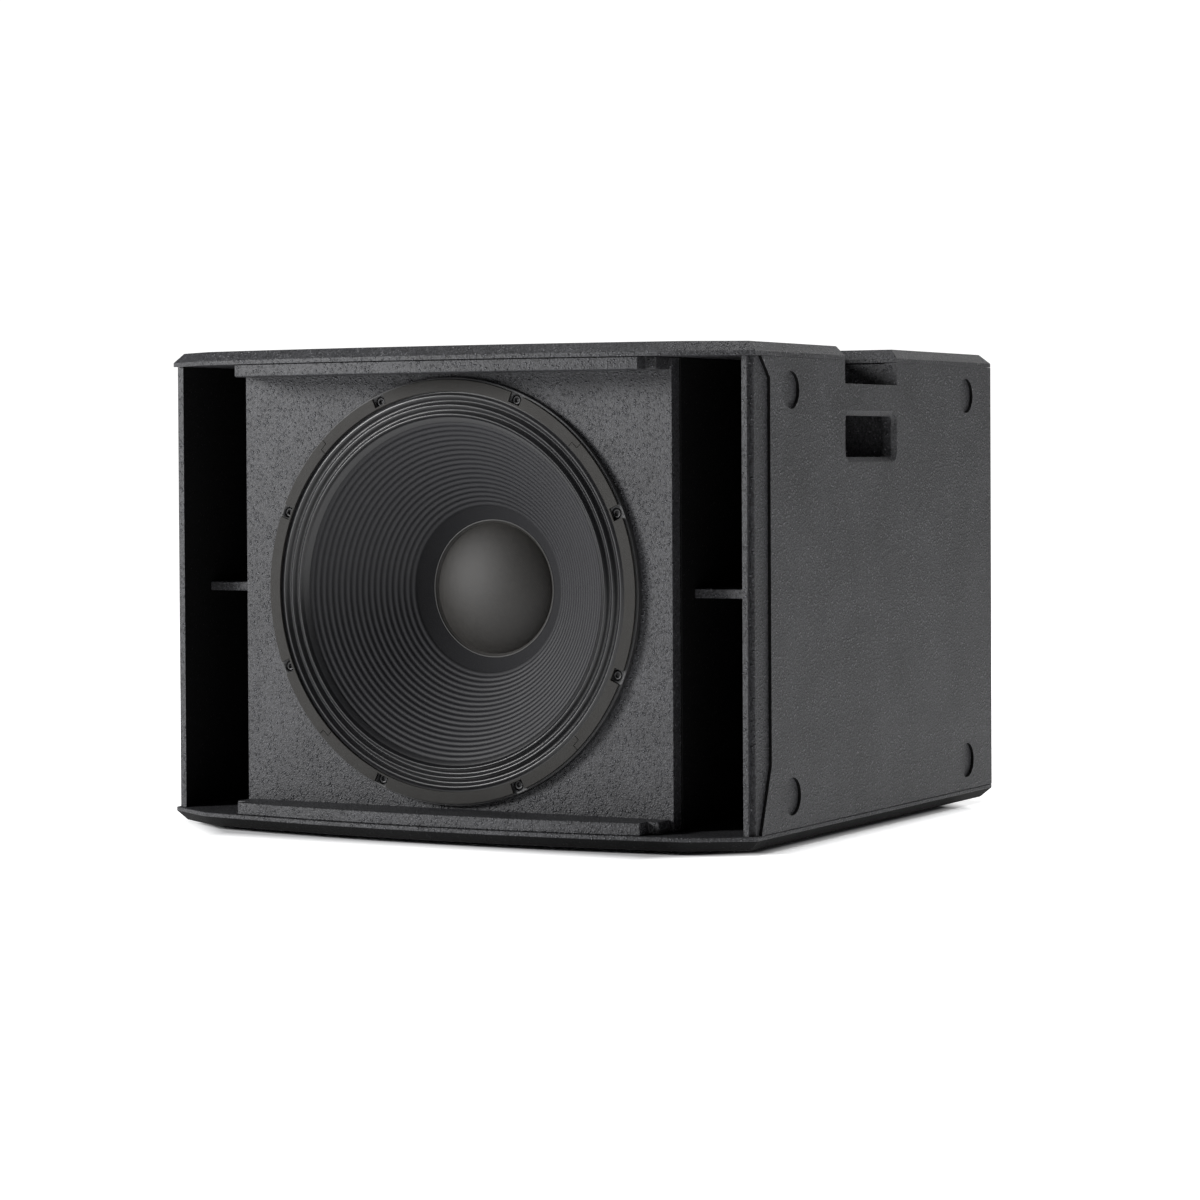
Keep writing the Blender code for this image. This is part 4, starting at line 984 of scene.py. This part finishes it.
LIGHTS = (                               # name, place, size in metres, power in watts
    ("key", (-2.9, -3.3, 1.6), (1.3, 1.3), 240),
    ("top", (0.45, 0.3, 2.9), (1.3, 1.6), 45),
    ("back", (0.1, 3.3, 1.8), (2.6, 1.4), 17),
    ("right", (2.9, 0.2, 1.0), (1.4, 1.4), 4))
LIT_SPOT = (0, 0, 0.27)
FLOOR_HALF = 14
AMBIENT, BACKDROP = 0.02, 1.1            # the world's strength as a light, and as seen
EYE, LENS, SENSOR, SHIFT_UP = (1.8978, -3.4502, 0.4112), 102.83, 36, -0.0667
PITCH, YAW, ROLL = math.radians(-1.05), math.radians(28.48), math.radians(-0.31)


def area_light(name, place, size, power):
    data = bpy.data.lights.new(name, "AREA")
    data.shape = "RECTANGLE"
    data.size, data.size_y = size
    data.energy = power
    light = bpy.data.objects.new(name, data)
    bpy.context.scene.collection.objects.link(light)
    light.location = place
    light.rotation_euler = (Vector(LIT_SPOT) - Vector(place)).to_track_quat("-Z", "Y").to_euler()


def backdrop():
    """A white world that hardly lights the object."""
    world = bpy.data.worlds.new("studio")
    bpy.context.scene.world = world
    world.use_nodes = True
    tree = world.node_tree
    seen = add_node(tree, "LightPath").outputs["Is Camera Ray"]
    background = tree.nodes["Background"]
    background.inputs["Color"].default_value = (1, 1, 1, 1)
    tree.links.new(ramp(tree, seen, AMBIENT, BACKDROP), background.inputs["Strength"])


def studio():
    bm = bmesh.new()
    bmesh.ops.create_grid(bm, x_segments=1, y_segments=1, size=FLOOR_HALF)
    floor = piece_from(bm, "stage_floor", "stage_floor")
    for light in LIGHTS:
        area_light(*light)
    backdrop()
    bpy.context.scene.view_settings.view_transform = "Standard"


def camera():
    data = bpy.data.cameras.new("camera")
    data.lens, data.sensor_width, data.shift_y = LENS, SENSOR, SHIFT_UP
    data.clip_start, data.clip_end = 0.1, 60
    eye = bpy.data.objects.new("camera", data)
    bpy.context.scene.collection.objects.link(eye)
    eye.location = EYE
    turn = Matrix.Rotation(YAW, 4, "Z") @ Matrix.Rotation(math.pi / 2 + PITCH, 4, "X")
    eye.rotation_euler = (turn @ Matrix.Rotation(ROLL, 4, "Z")).to_euler()
    bpy.context.scene.camera = eye


make_finishes()
boards()
gasket()
basket()
driver_bolts()
cone()
dust_cap()
surround()
spider()
motor()
terminals()
leads()
feet()
pole_mount()
connectors()
studio()
camera()
